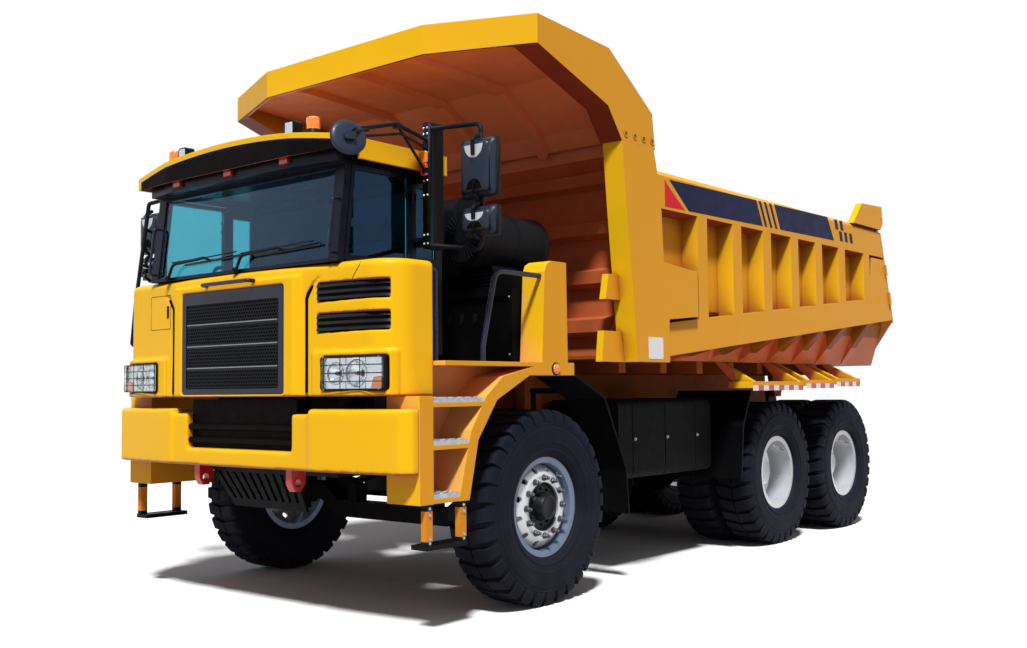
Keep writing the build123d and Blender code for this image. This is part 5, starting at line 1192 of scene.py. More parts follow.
@dataclass
class FrontTrim:
    """Seams, dark gaps of painted shade and the hatch's latch on the front panel."""

    hatch_low: Flat = (-1.075, 1.985)
    hatch_high: Flat = (-0.790, 2.235)
    seam_radius: float = 0.0022
    gap: tuple[Flat, ...] = ((0.751, 1.505), (0.751, 2.115), (0.765, 2.150), (0.806, 2.196))
    gap_radius: float = 0.011
    bonnet: tuple[Flat, ...] = ((1.225, 2.325), (1.222, 2.30), (1.17, 2.235), (1.165, 2.212))

    def on_panel(self, x: float, z: float) -> Vector:
        """Point on the front panel's face."""
        return meet("front_panel", at(x, -2.2, z), (0, 1, 0))

    def build(self) -> None:
        """Build the seams, the gaps beside the grille and the latch."""
        seams = Shape()
        (x0, z0), (x1, z1) = self.hatch_low, self.hatch_high
        loop = rounded((x1 - x0) / 2, (z1 - z0) / 2, 0.014, 3)
        path = [self.on_panel((x0 + x1) / 2 + u, (z0 + z1) / 2 + v) for u, v in loop]
        seams.pipe(path + path[:1], self.seam_radius, MOULDED_BLACK, 6)
        seams.pipe([self.on_panel(x, z) for x, z in self.bonnet], self.seam_radius * 1.2, MOULDED_BLACK, 6)
        for sign in SIDES.values():
            gap = [self.on_panel(sign * (x + 0.03), z) + Vector((-0.03 * sign, 0.004, 0))
                   for x, z in self.gap]
            # Near-black tubes in the gaps beside the grille: painted shade.
            seams.pipe(gap, self.gap_radius, SHADE_BLACK, 8)
        seams.finish("front_panel_seams", "chassis", "body_yellow")
        latch = Shape()
        place = self.on_panel(x1 - 0.035, (z0 + z1) / 2)
        face = Face(place, ACROSS, UP)
        face.slab(latch, rounded(0.011, 0.045, 0.006), -0.004, 0.006, MOULDED_BLACK)
        latch.finish("hatch_latch", "chassis", "chassis_black", bevel=0.0015)


@dataclass
class Pressings:
    """Front panel and bumper with the rounded edges that a press leaves."""

    bumper_voxel_mm: float = 11.0
    panel_voxel_mm: float = 9.0

    def build(self) -> None:
        """Round both pressings, once all that is seated on them has been built."""
        soften("bumper", "chassis", CAB_YELLOW, self.bumper_voxel_mm, 14)
        soften("front_panel", "chassis", CAB_YELLOW, self.panel_voxel_mm, 5)


@dataclass
class Louvres:
    """Gloss blades in the two vents on the front panel's left."""

    heights: tuple[float, ...] = (1.95, 2.15)
    blade_half: float = 0.012
    blade_steps: tuple[float, ...] = (-0.040, 0.0, 0.040)
    run: tuple[Flat, ...] = ((0.854, -1.523), (1.05, -1.505), (1.25, -1.478), (1.385, -1.438),
                             (1.424, -1.402))

    def build(self) -> None:
        """Build three blades in each vent, bent round the panel's corner."""
        shape = Shape()
        for height in self.heights:
            for lift in self.blade_steps:
                rings = []
                for i, (x, y) in enumerate(self.run):
                    ahead = Vector(self.run[min(i + 1, len(self.run) - 1)]) - Vector(self.run[max(i - 1, 0)])
                    out = Vector((ahead.y, -ahead.x, 0)).normalized()
                    foot = at(x, y, height + lift)
                    rings.append([foot + out * 0.010 + Vector((0, 0, -self.blade_half)),
                                  foot + out * 0.014 + Vector((0, 0, -self.blade_half + 0.004)),
                                  foot + out * 0.002 + Vector((0, 0, self.blade_half)),
                                  foot - out * 0.010 + Vector((0, 0, self.blade_half))])
                shape.loft(rings, GLOSS_BLACK)
        shape.finish("vent_blades", "chassis", "chassis_black", bevel=0.002)


# ---- Cab --------------------------------------------------------------------------------


@dataclass
class Cab:
    """Wipers, roof lamps, mirrors with their shells and glass, the post's lamp and the painted shade under
    the visor's edge.
    """

    wiper_pivots: tuple[float, ...] = (-0.80, 0.02)
    wiper_reach: float = 0.80
    beacon_base: float = 0.058
    beacon_dome: float = 0.046
    work_lamp_half: Flat = (0.040, 0.042)

    def build(self) -> None:
        """Build the cab's trim."""
        self.wipers()
        self.beacons()
        self.work_lamps()
        self.mirror_glass()
        self.mirror_shells()
        self.side_lamp()
        self.mirror_frames()
        self.visor_shade()

    def on_glass(self, x: float, z: float) -> Vector:
        """Point on the windshield's outer face."""
        return meet("cab_glass", at(x, -2.2, z), (0, 1, 0))

    def wipers(self) -> None:
        """Two pantograph wipers parked along the windshield's foot."""
        shape = Shape()
        lean = Vector((0, -0.028, 0.0))
        for x in self.wiper_pivots:
            foot = at(x, -1.545, 2.352)
            knee = self.on_glass(x + 0.06, 2.455) + lean * 1.6
            mid = self.on_glass(x + self.wiper_reach * 0.55, 2.475) + lean * 1.4
            tip = self.on_glass(x + self.wiper_reach, 2.490) + lean
            shape.pipe(arc_path([foot, knee, mid], 0.04), 0.011, MOULDED_BLACK, 8)
            shape.pipe([knee + Vector((0, 0, 0.014)), mid], 0.006, MOULDED_BLACK, 8)
            blade = [self.on_glass(x + along, z) + lean * 0.5
                     for along, z in ((0.18, 2.445), (0.5, 2.452), (self.wiper_reach + 0.06, 2.462))]
            shape.pipe(blade, 0.009, GLOSS_BLACK, 6)
            shape.rod(mid, blade[1], 0.008, MOULDED_BLACK, 8)
            shape.pipe([mid, tip], 0.005, MOULDED_BLACK, 6)
            shape.turned([(0, 0), (0, 0.022), (0.03, 0.02), (0.036, 0.012), (0.036, 0)],
                         foot - Vector((0, 0, 0.01)), Vector((0, -0.5, 1)), MOULDED_BLACK, 20)
        shape.finish("wipers", "chassis", "chassis_black", smooth_deg=40)

    def beacons(self) -> None:
        """Amber domes with moulded ribs on black bases, in place of the plain ones."""
        low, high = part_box("beacons")
        base, dome = Shape(), Shape()
        foot, top = low.z, high.z
        for x in (low.x + self.beacon_base, high.x - self.beacon_base):
            place = Vector((x, (low.y + high.y) / 2, foot))
            rise = top - foot
            base.turned([(0, 0), (0, self.beacon_base), (0.016, self.beacon_base), (0.022, 0.054),
                         (0.040, 0.052), (0.044, 0.048), (0.044, 0.0)], place, UP, MOULDED_BLACK, 40)
            profile = [(0.040, 0.0), (0.040, self.beacon_dome)]
            ribs = 7
            for rib in range(ribs):
                height = 0.044 + (rise - 0.060) * rib / (ribs - 1)
                profile += [(height, self.beacon_dome + 0.0015), (height + 0.004, self.beacon_dome - 0.001)]
            profile += [(rise - 0.008, self.beacon_dome - 0.004), (rise - 0.002, self.beacon_dome - 0.014),
                        (rise, 0.018), (rise, 0.0)]
            dome.turned(profile, place, UP, AMBER_LENS, 40)
        base.finish("beacon_bases", "chassis", "chassis_black", smooth_deg=40)
        dome.finish("beacon_domes", "chassis", "amber_lens", smooth_deg=50, replaces=["beacons"])

    def work_lamps(self) -> None:
        """Reflectors and lenses set in the fronts of the roof's work lamps."""
        low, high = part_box("work_lamps")
        shine, lens = Shape(), Shape()
        reach_u, reach_v = self.work_lamp_half
        for x in (low.x + 0.052, high.x - 0.052):
            face = Face(Vector((x, low.y, (low.z + high.z) / 2)), ACROSS, UP)
            outline = rounded(reach_u, reach_v, 0.012)
            face.frame(shine, [(u * 1.12, v * 1.12) for u, v in outline], outline, -0.004, 0.005,
                       MOULDED_BLACK)
            face.slab(shine, outline, 0.0, 0.0012, REFLECTOR)
            face.slab(lens, outline, 0.002, 0.005, LAMP_LENS)
        shine.finish("work_lamp_reflectors", "chassis", "silver_rim", bevel=0.001)
        lens.finish("work_lamp_lenses", "chassis", "cab_window")

    def mirror_glass(self) -> None:
        """Silvered glass in the rear faces of the mirror heads."""
        shape = Shape()
        heads = ((1.722, 2.935, 0.125, 0.172), (1.722, 2.590, 0.125, 0.078),
                 (-1.722, 2.830, 0.125, 0.147), (-1.722, 2.540, 0.125, 0.073))
        for x, z, half, tall in heads:
            place = meet("mirrors", at(x + 0.06, 0.0, z), (0, -1, 0))
            face = Face(Vector((at(x, 0, 0).x, place.y, z)), Vector((-1, 0, 0)), UP)
            face.frame(shape, rounded(half + 0.008, tall + 0.008, 0.02), rounded(half, tall, 0.016), -0.004,
                       0.004, MOULDED_BLACK)
            face.slab(shape, rounded(half, tall, 0.016), -0.002, 0.002, MIRROR_GLASS)
        shape.finish("mirror_glasses", "chassis", "chassis_black", bevel=0.001)

    def mirror_shells(self) -> None:
        """Moulded shells over the mirror heads, with the pale cup and the dark well that take the tube; the
        well is a flat slab of painted shade.
        """
        shell, socket, tube = Shape(), Shape(), Shape()
        for x, y, z, tall in ((1.722, -0.900, 2.935, 0.190), (1.722, -0.900, 2.590, 0.095),
                              (-1.722, -1.070, 2.830, 0.165), (-1.722, -1.070, 2.540, 0.090)):
            front = Face(at(x, y, z), ACROSS, UP)
            rings = []
            for out, inset, bend in ((-0.026, 0.004, 0.030), (-0.018, 0.0005, 0.034), (0.018, 0.0005, 0.034),
                                     (0.034, 0.006, 0.036), (0.040, 0.020, 0.036), (0.062, 0.030, 0.030),
                                     (0.072, 0.040, 0.026), (0.076, 0.060, 0.02)):
                rings.append(front.loop(rounded(0.143 - inset, tall - inset, bend, 6), out))
            shell.loft(rings, MIRROR_SHELL)
            wide, deep = 0.078, min(0.085, tall * 0.55)
            cup = [(wide * math.cos(a), deep * math.sin(a)) for a in (math.pi * k / 16 for k in range(17))]
            brim = tall - 0.048
            front.slab(socket, [(u, brim - v) for u, v in cup], 0.070, 0.0775, SATIN_SILVER)
            # A flat near-black slab stands for the well: painted shade.
            front.slab(tube, [(u * 0.8, v * 0.8 - tall + 0.045) for u, v in reversed(cup)], 0.070, 0.0775,
                       SHADE_BLACK)
            tube.pipe(arc_path([front.place(0, tall + 0.02, 0.03), front.place(0, tall - 0.012, 0.086),
                                front.place(0, brim - deep * 0.8, 0.082)], 0.02), 0.0145, MOULDED_BLACK)
            tube.pipe([front.place(0, deep * 0.7 - tall + 0.045, 0.084), front.place(0, -tall + 0.01, 0.086),
                       front.place(0, -tall - 0.02, 0.04)], 0.0145, MOULDED_BLACK)
        shell.finish("mirror_shells", "chassis", "chassis_black", smooth_deg=50)
        socket.finish("mirror_sockets", "chassis", "silver_rim", bevel=0.002)
        tube.finish("mirror_tubes", "chassis", "chassis_black", smooth_deg=60)

    def mirror_frames(self) -> None:
        """Posts, tubes and heads, with the round mirror turned to the driver on its clamp."""
        shape = Shape()
        shape.finishes.append(MOULDED_BLACK)
        shape.mesh.from_mesh(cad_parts["mirrors"].data)
        centre = at(1.318, -1.674, 3.068)
        old = at(1.300, -1.700, 3.060)
        for face in shape.mesh.faces:
            face.material_index = 0
        disc = [face for face in shape.mesh.faces
                if all((vert.co - old).length < 0.150 for vert in face.verts)]
        bmesh.ops.delete(shape.mesh, geom=disc, context="FACES")
        back = Vector((0.93, -0.39, 0.25)).normalized()
        shape.turned([(-0.014, 0.0), (-0.014, 0.108), (-0.010, 0.115), (0.000, 0.117), (0.008, 0.112),
                      (0.013, 0.085), (0.016, 0.0)], centre, back, MIRROR_SHELL, 64)
        shape.turned([(-0.016, 0.0), (-0.016, 0.106), (-0.012, 0.108), (-0.012, 0.0)], centre, back,
                     MIRROR_GLASS, 64)
        clamp = Face(centre + back * 0.016, Vector((0.39, 0.93, 0)), UP)
        clamp.slab(shape, rounded(0.036, 0.022, 0.008), -0.004, 0.030, MIRROR_SHELL)
        hub = centre + back * 0.034
        shape.pipe([hub, hub + Vector((0.0, 0.06, 0.03)), at(1.322, -1.52, 3.142)], 0.0135, MOULDED_BLACK)
        shape.pipe([hub + Vector((0, 0, -0.012)), at(1.330, -1.50, 3.105), at(1.290, -1.20, 3.175),
                    at(1.190, -0.85, 3.150)], 0.009, MOULDED_BLACK)
        shape.pipe([at(1.298, -1.240, 3.228), at(1.190, -0.858, 2.985)], 0.010, MOULDED_BLACK)
        for place in (at(1.300, -1.245, 3.215), at(1.193, -0.868, 2.995), at(1.190, -0.862, 3.160)):
            shape.block(place - Vector((0.018, 0.018, 0.018)), place + Vector((0.018, 0.018, 0.018)),
                        MOULDED_BLACK)
        shape.finish("mirror_frames", "chassis", "chassis_black", smooth_deg=40, replaces=["mirrors"])

    def visor_shade(self) -> None:
        """Near-black strip along the roof visor's front edge: painted shade of its undercut face."""
        shape = Shape()
        rings = []
        for step in range(-22, 23):
            x = step * 0.05
            top = meet("cab_roof", at(x, -1.570, 4.0), (0, 0, -1)).z - 0.038
            low = 3.047
            front = meet("cab_roof", at(x, -2.2, (top + low) / 2), (0, 1, 0))
            if top - low < 0.01:
                continue
            rings.append([Vector((front.x, front.y - 0.003, low)), Vector((front.x, front.y - 0.003, top)),
                          Vector((front.x, front.y + 0.002, top)), Vector((front.x, front.y + 0.002, low))])
        shape.loft(rings, SHADE_BLACK)
        shape.finish("visor_shade_strip", "chassis", "chassis_black", smooth_deg=20)

    def side_lamp(self) -> None:
        """Amber and red side lamp and bolts on the left mirror's post."""
        shape = Shape()
        lamp = Face(at(1.185, -0.862, 3.045), ACROSS, UP)
        for drop, lens in ((-0.043, AMBER_LENS), (0.043, RED_LENS)):
            lamp.slab(shape, [(u, v - drop) for u, v in rounded(0.026, 0.044, 0.016)], -0.002, 0.022, lens)
        shape.finish("post_lamp", "chassis", "amber_lens", bevel=0.006)
        bolts = Shape()
        for z in (3.29, 3.25, 3.12, 3.10, 2.93, 2.83, 2.56, 2.50):
            for x in (1.168, 1.202):
                bolts.bolt(meet("mirrors", at(x, -2.0, z), (0, 1, 0)), Vector((0, -1, 0)), 0.013, 0.008,
                           ZINC_BOLT)
        bolts.finish("post_bolts", "chassis", "chassis_black")


@dataclass
class Interior:
    """Seats, dash, wheel and column seen through the glass."""

    driver_x: float = -0.42
    passenger_x: float = 0.48
    seat_half: float = 0.225
    wheel_radius: float = 0.20
    wheel_centre: Flat = (-1.180, 2.330)
    wall_half: float = 0.93
    grid: tuple[int, int] = (24, 20)
    pull: float = 0.05

    def build(self) -> None:
        """Build the interior in place of the plain one."""
        self.dash()
        wall = Shape()
        wall.block(at(-self.wall_half, -0.640, 1.95), at(self.wall_half, -0.618, 2.93), CAB_TRIM)
        wall.finish("rear_wall_trim", "chassis", "cab_trim", bevel=0.006)
        for name, x in (("driver", self.driver_x), ("passenger", self.passenger_x)):
            self.seat(name, x)

    def dash(self) -> None:
        """Dash with a rounded hood over the dials, its column and the steering wheel."""
        shape = Shape()
        section = ((-1.385, 1.82), (-1.385, 2.300), (-1.345, 2.325), (-1.290, 2.325), (-1.245, 2.285),
                   (-1.250, 2.150), (-1.300, 2.060), (-1.300, 1.82))
        rings = []
        for x in (-0.895, -0.62, -0.58, -0.26, -0.22, 0.895):
            hood = 0.014 if -0.60 < x < -0.24 else 0.0
            rings.append([at(x, y - hood, z + (hood if z > 2.2 else 0)) for y, z in section])
        shape.loft(rings, CAB_TRIM)
        y, z = self.wheel_centre
        centre = at(self.driver_x, y, z)
        axis = Vector((0, 0.47, 0.88)).normalized()
        shape.rod(at(self.driver_x, -1.26, 2.19), centre, 0.024, MOULDED_BLACK, 20)
        side = ACROSS
        tilt = axis.cross(side)
        rim = [centre + (side * math.cos(a) + tilt * math.sin(a)) * self.wheel_radius
               for a in (2 * math.pi * k / 48 for k in range(49))]
        shape.pipe(rim, 0.013, MOULDED_BLACK, 12)
        for angle in (-0.35, math.pi + 0.35, math.pi / 2):
            spoke = side * math.cos(angle) + tilt * math.sin(angle)
            shape.pipe([centre - axis * 0.02, centre + spoke * 0.1 - axis * 0.01, centre + spoke * 0.19],
                       0.012, MOULDED_BLACK, 8)
        shape.turned([(-0.03, 0), (-0.03, 0.05), (0.0, 0.055), (0.008, 0.04), (0.010, 0)], centre, axis,
                     MOULDED_BLACK, 32)
        shape.finish("dash_and_wheel", "chassis", "cab_trim", bevel=0.006, smooth_deg=50,
                     replaces=["cab_interior"])

    def seat(self, name: str, x: float) -> None:
        """One seat: sprung base, cushion and back with its head rest."""
        base = Shape()
        base.block(at(x - 0.18, -1.06, 1.81), at(x + 0.18, -0.78, 1.94), CAB_TRIM)
        base.block(at(x - 0.21, -1.07, 1.95), at(x + 0.21, -0.77, 1.985), CAB_TRIM)
        base.finish(f"seat_{name}_base", "chassis", "cab_trim", bevel=0.01)
        self.cushion(f"seat_{name}_cushion", at(x, -0.92, 2.055), Vector((0, 0.05, 1)),
                     (self.seat_half, 0.158, 0.068))
        self.cushion(f"seat_{name}_back", at(x, -0.778, 2.355), Vector((0, -1, 0.17)),
                     (self.seat_half - 0.015, 0.235, 0.052))
        self.cushion(f"seat_{name}_head", at(x, -0.728, 2.655), Vector((0, -1, 0.17)), (0.13, 0.075, 0.040))

    def cushion(self, name: str, middle: Vector, out: Vector, half: Point) -> None:
        """Crowned pad whose sides pull in between its corners, with two sewn channels.

        Args:
            name: Name of the piece.
            middle: Middle of the pad.
            out: Direction that the pad faces.
            half: Half its width, length and thickness.
        """
        face = Face(middle, ACROSS, UP.cross(ACROSS) if abs(out.normalized().z) > 0.9 else UP)
        out = out.normalized()
        face.out = out
        face.up = out.cross(face.across).normalized()
        shape = Shape()
        columns, rows = self.grid
        half_u, half_v, thick = half

        def rise(s: float, t: float) -> float:
            """Crown over the pad, less its two sewn channels."""
            crown = (1 - abs(s) ** 4) ** 0.5 * (1 - abs(t) ** 4) ** 0.5
            return thick * crown - 0.012 * sum(math.exp(-((s - c) / 0.06) ** 2)
                                               for c in (-0.45, 0.45)) * crown

        def point(i: int, j: int, sign: int) -> Vector:
            """Point of the pad's grid on its front (1) or its back (-1)."""
            s, t = 2 * i / columns - 1, 2 * j / rows - 1
            pull_u, pull_v = 1 - self.pull * (1 - t ** 2), 1 - self.pull * (1 - s ** 2)
            return face.place(s * half_u * pull_u, t * half_v * pull_v, sign * max(rise(s, t), 0.0))

        for sign in (1, -1):
            shape.sheet([[point(i, j, sign) for j in range(rows + 1)] for i in range(columns + 1)],
                        SEAT_CLOTH, flipped=sign < 0)
        pad = shape.finish(name, "chassis", "cab_trim", smooth_deg=180)


# ---- Load body --------------------------------------------------------------------------


@dataclass
class LoadBody:
    """Canopy liner, floor seal, vinyl bands, blank plates, reflective tape and bolt holes of the body."""

    band_front: float = 1.42
    band_rear: float = 5.93
    band_low: Flat = (2.978, 3.040)
    band_high: Flat = (3.205, 3.272)
    red_length: float = 0.26
    stripe_middle: float = 3.22
    stripe_width: float = 0.045
    stripe_pitch: float = 0.105
    tape_tile: float = 0.105
    plate_place: Flat = (1.185, 1.825)
    plate_half: Flat = (0.105, 0.085)
    seal_half: float = 1.285
    ceiling_half: float = 1.485
    ceiling_ribs: tuple[float, ...] = (-0.65, 0.0, 0.65)
    guard_edges: tuple[tuple[float, float, float], ...] = (
        (2.85, 3.90, 1.505), (3.96, 4.62, 1.520), (4.68, 5.29, 1.535))

    def build(self) -> None:
        """Dress both sides, line the canopy and seal the floor's rear edge."""
        self.ceiling()
        seal = Shape()
        seal.block(at(-self.seal_half, 6.385, 1.7755), at(self.seal_half, 6.440, 1.7945), MOULDED_BLACK)
        seal.finish("floor_seal", "dump_body", "chassis_black", bevel=0.003)
        for side, sign in SIDES.items():
            self.band(side, sign)
            self.plates(side, sign)
            self.tape(side, sign)
            self.bolts(side, sign)

    def on_side(self, side: str, sign: int, y: float, z: float) -> Vector:
        """Point on the outer face of a side."""
        return meet(f"body_side_{side}", at(sign * 2.4, y, z), (-sign, 0, 0))

    def height(self, y: float, share: float) -> float:
        """Height on the band at a place along it, from its low edge (0) to its high edge (1)."""
        along = (y - self.band_front) / (self.band_rear - self.band_front)
        low = self.band_low[0] + (self.band_low[1] - self.band_low[0]) * along
        high = self.band_high[0] + (self.band_high[1] - self.band_high[0]) * along
        return low + (high - low) * share

    def patch(self, shape: Shape, side: str, sign: int, corners: Sequence[Flat],
              finish: Finish) -> None:
        """Lay a four-cornered film on the side, in pieces along it so that it follows the steel.

        Args:
            shape: Shape that takes the film.
            side: Side of the truck.
            sign: 1 on the left, -1 on the right.
            corners: Front low, rear low, rear high and front high corners, each a length and a share of
                the band's height.
            finish: The film's finish.
        """
        (y0, s0), (y1, s1), (y2, s2), (y3, s3) = corners
        outline = [(y0, self.height(y0, s0)), (y1, self.height(y1, s1)), (y2, self.height(y2, s2)),
                   (y3, self.height(y3, s3))]
        middle = self.on_side(side, sign, sum(y for y, _ in outline) / 4, sum(z for _, z in outline) / 4)
        lift = Vector((sign * 0.0016, 0, 0))
        foot = [Vector((middle.x, at(0, y, 0).y, z)) for y, z in outline]
        shape.prism([p - lift * 0.4 for p in foot], lift * 1.4, finish)

    def band(self, side: str, sign: int) -> None:
        """Navy film with its red front, middle stripes and stepped dashes at the rear."""
        shape = Shape()
        red_end = self.band_front + self.red_length
        self.patch(shape, side, sign, ((self.band_front, 0), (red_end + 0.05, 0), (red_end - 0.16, 0.62),
                                       (self.band_front, 0.95)), DECAL_RED)
        navy_start = red_end + 0.11
        first = self.stripe_middle - self.stripe_pitch * 1.5
        self.patch(shape, side, sign, ((navy_start, 0), (first + 0.06, 0), (first - 0.06, 1),
                                       (navy_start - 0.30, 1)), DECAL_NAVY)
        for k in range(3):
            y = first + self.stripe_width + self.stripe_pitch * k
            self.patch(shape, side, sign, ((y + 0.06, 0), (y + self.stripe_width + 0.06, 0),
                                           (y + self.stripe_width - 0.06, 1), (y - 0.06, 1)), DECAL_NAVY)
        start = first + self.stripe_width + self.stripe_pitch * 3
        end = 4.62
        self.patch(shape, side, sign, ((start + 0.06, 0), (end + 0.09, 0), (end - 0.06, 1),
                                       (start - 0.06, 1)), DECAL_NAVY)
        for share_low, share_high, places in ((0.53, 0.97, (4.73, 4.86)), (0.03, 0.47, (4.84, 4.97, 5.10))):
            for y in places:
                self.patch(shape, side, sign, ((y + 0.03, share_low), (y + 0.10, share_low),
                                               (y + 0.07, share_high), (y, share_high)), DECAL_NAVY)
        shape.finish(f"side_band_{side}", "dump_body", "cab_navy", bevel=0.0004)

    def plates(self, side: str, sign: int) -> None:
        """Bare white plate on the side's foot, with its four rivets."""
        shape = Shape()
        wide, tall = self.plate_half
        face = Face(self.on_side(side, sign, *self.plate_place), Vector((0, sign, 0)), UP)
        face.slab(shape, rounded(wide, tall, 0.006), -0.001, 0.0018, PLATE_WHITE)
        for v in (tall - 0.01, 0.01 - tall):
            for u in (-wide + 0.01, wide - 0.01):
                shape.turned([(0, 0), (0, 0.004), (0.003, 0.003), (0.0035, 0)], face.place(u, v, 0.0015),
                             face.out, ZINC_BOLT, 12)
        shape.finish(f"body_plates_{side}", "dump_body", "tread_steel", bevel=0.0004)

    def tape(self, side: str, sign: int) -> None:
        """Red and white reflective tape along the guards' outer edges."""
        shape = Shape()
        for start, end, z in self.guard_edges:
            count = max(2, round((end - start) / self.tape_tile))
            step = (end - start - 0.02) / count
            for k in range(count):
                y = start + 0.01 + step * (k + 0.5)
                place = meet("body_guards", at(sign * 2.4, y, z), (-sign, 0, 0))
                face = Face(place, Vector((0, sign, 0)), UP)
                face.slab(shape, rounded(step / 2, 0.024, 0.001, 1), -0.001, 0.0014,
                          TAPE_RED if k % 2 else TAPE_WHITE)
        shape.finish(f"guard_tape_{side}", "dump_body", "red_lens")

    def ceiling(self) -> None:
        """Smooth liner sheet under the canopy's stiffeners, with three wide ribs down it."""
        shape = Shape()
        run = ((-0.535, 3.985), (-0.400, 3.994), (0.080, 3.972), (0.560, 3.946), (0.800, 3.786),
               (1.030, 3.628), (1.120, 3.500))
        places = [self.ceiling_half * (k / 12 - 1) for k in range(25)]

        def sheet(x: float, drop: float) -> list[Vector]:
            """One row of points along the liner at a place across it."""
            nose = -0.535 + 0.3813 * max(abs(x) - 0.887, 0.0)
            return [at(x, max(y, nose), z - drop) for y, z in run]

        # The liner's red-brown is painted shade under the canopy.
        for lower, upper in zip(places, places[1:]):
            low, high = sheet(lower, 0.0), sheet(upper, 0.0)
            shape.loft([low + [p + Vector((0, 0, 0.004)) for p in reversed(low)],
                        high + [p + Vector((0, 0, 0.004)) for p in reversed(high)]], LINER_SHADE_BROWN)
        for middle in self.ceiling_ribs:
            rings = [sheet(middle + shift, drop) for shift, drop in
                     ((-0.060, -0.003), (-0.042, 0.048), (0.042, 0.048), (0.060, -0.003))]
            shape.loft([[ring[i] for ring in rings] for i in range(len(run))], LINER_SHADE_BROWN)
        shape.finish("canopy_liner", "dump_body", "body_yellow", smooth_deg=20)

    def bolts(self, side: str, sign: int) -> None:
        """Row of bolt holes where the canopy meets the side, each a flat brown disc of painted shade in a
        yellow lip.
        """
        shape = Shape()
        for y in (0.81, 0.935, 1.06, 1.18):
            place = meet("body_canopy", at(sign * 2.4, y, 3.46), (-sign, 0, 0))
            if abs(place.x) > 2.3:
                continue
            outward = Vector((sign, 0, 0))
            shape.turned([(-0.002, 0.021), (0.003, 0.030), (0.0045, 0.026), (0.003, 0.018), (-0.002, 0.017)],
                         place, outward, BODY_YELLOW, 24)
            shape.turned([(-0.002, 0.0), (-0.002, 0.0185), (0.001, 0.0185), (0.001, 0.0)], place, outward,
                         BEAM_SHADE_BROWN, 24)
        shape.finish(f"canopy_holes_{side}", "dump_body", "body_yellow")


# ---- Steps, cabinets and chassis --------------------------------------------------------


@dataclass
class Steps:
    """Serrated tops of the silver treads and bolts on the hanging steps."""

    tops: tuple[float, ...] = (0.870, 1.200, 1.465)
    inner: float = 1.345
    outer: float = 1.580
    front: float = -1.215
    tooth: float = 0.014
    pitch_x: float = 0.045
    pitch_y: float = 0.040

    def build(self) -> None:
        """Build the teeth and the bolts of each side."""
        for side, sign in SIDES.items():
            teeth = Shape()
            for top in self.tops:
                y = self.front
                row = 0
                while y < -0.70:
                    for column in range(int((self.outer - self.inner) / self.pitch_x) + 1):
                        x = self.inner + self.pitch_x * column + (self.pitch_x / 2 if row % 2 else 0)
                        place = meet("step_treads", at(sign * x, y, top + 0.05), (0, 0, -1))
                        if x < self.outer and abs(place.z - top) < 0.003:
                            teeth.turned([(-0.001, 0.006), (-0.001, self.tooth * 0.8),
                                          (0.005, self.tooth * 0.5),
                                          (0.003, 0.005)], place, UP, ZINC_TREAD, 8)
                    y += self.pitch_y
                    row += 1
            teeth.finish(f"tread_teeth_{side}", "chassis", "tread_steel")
            bolts = Shape()
            for y in (-1.26, -0.95):
                for z in (0.785, 0.745, 0.60, 0.575):
                    place = meet("hanging_steps", at(sign * 2.0, y, z), (-sign, 0, 0))
                    if abs(place.x) < 1.8:
                        bolts.bolt(place, Vector((sign, 0, 0)), 0.016, 0.010, ZINC_BOLT)
            bolts.finish(f"hanging_step_bolts_{side}", "chassis", "tread_steel")


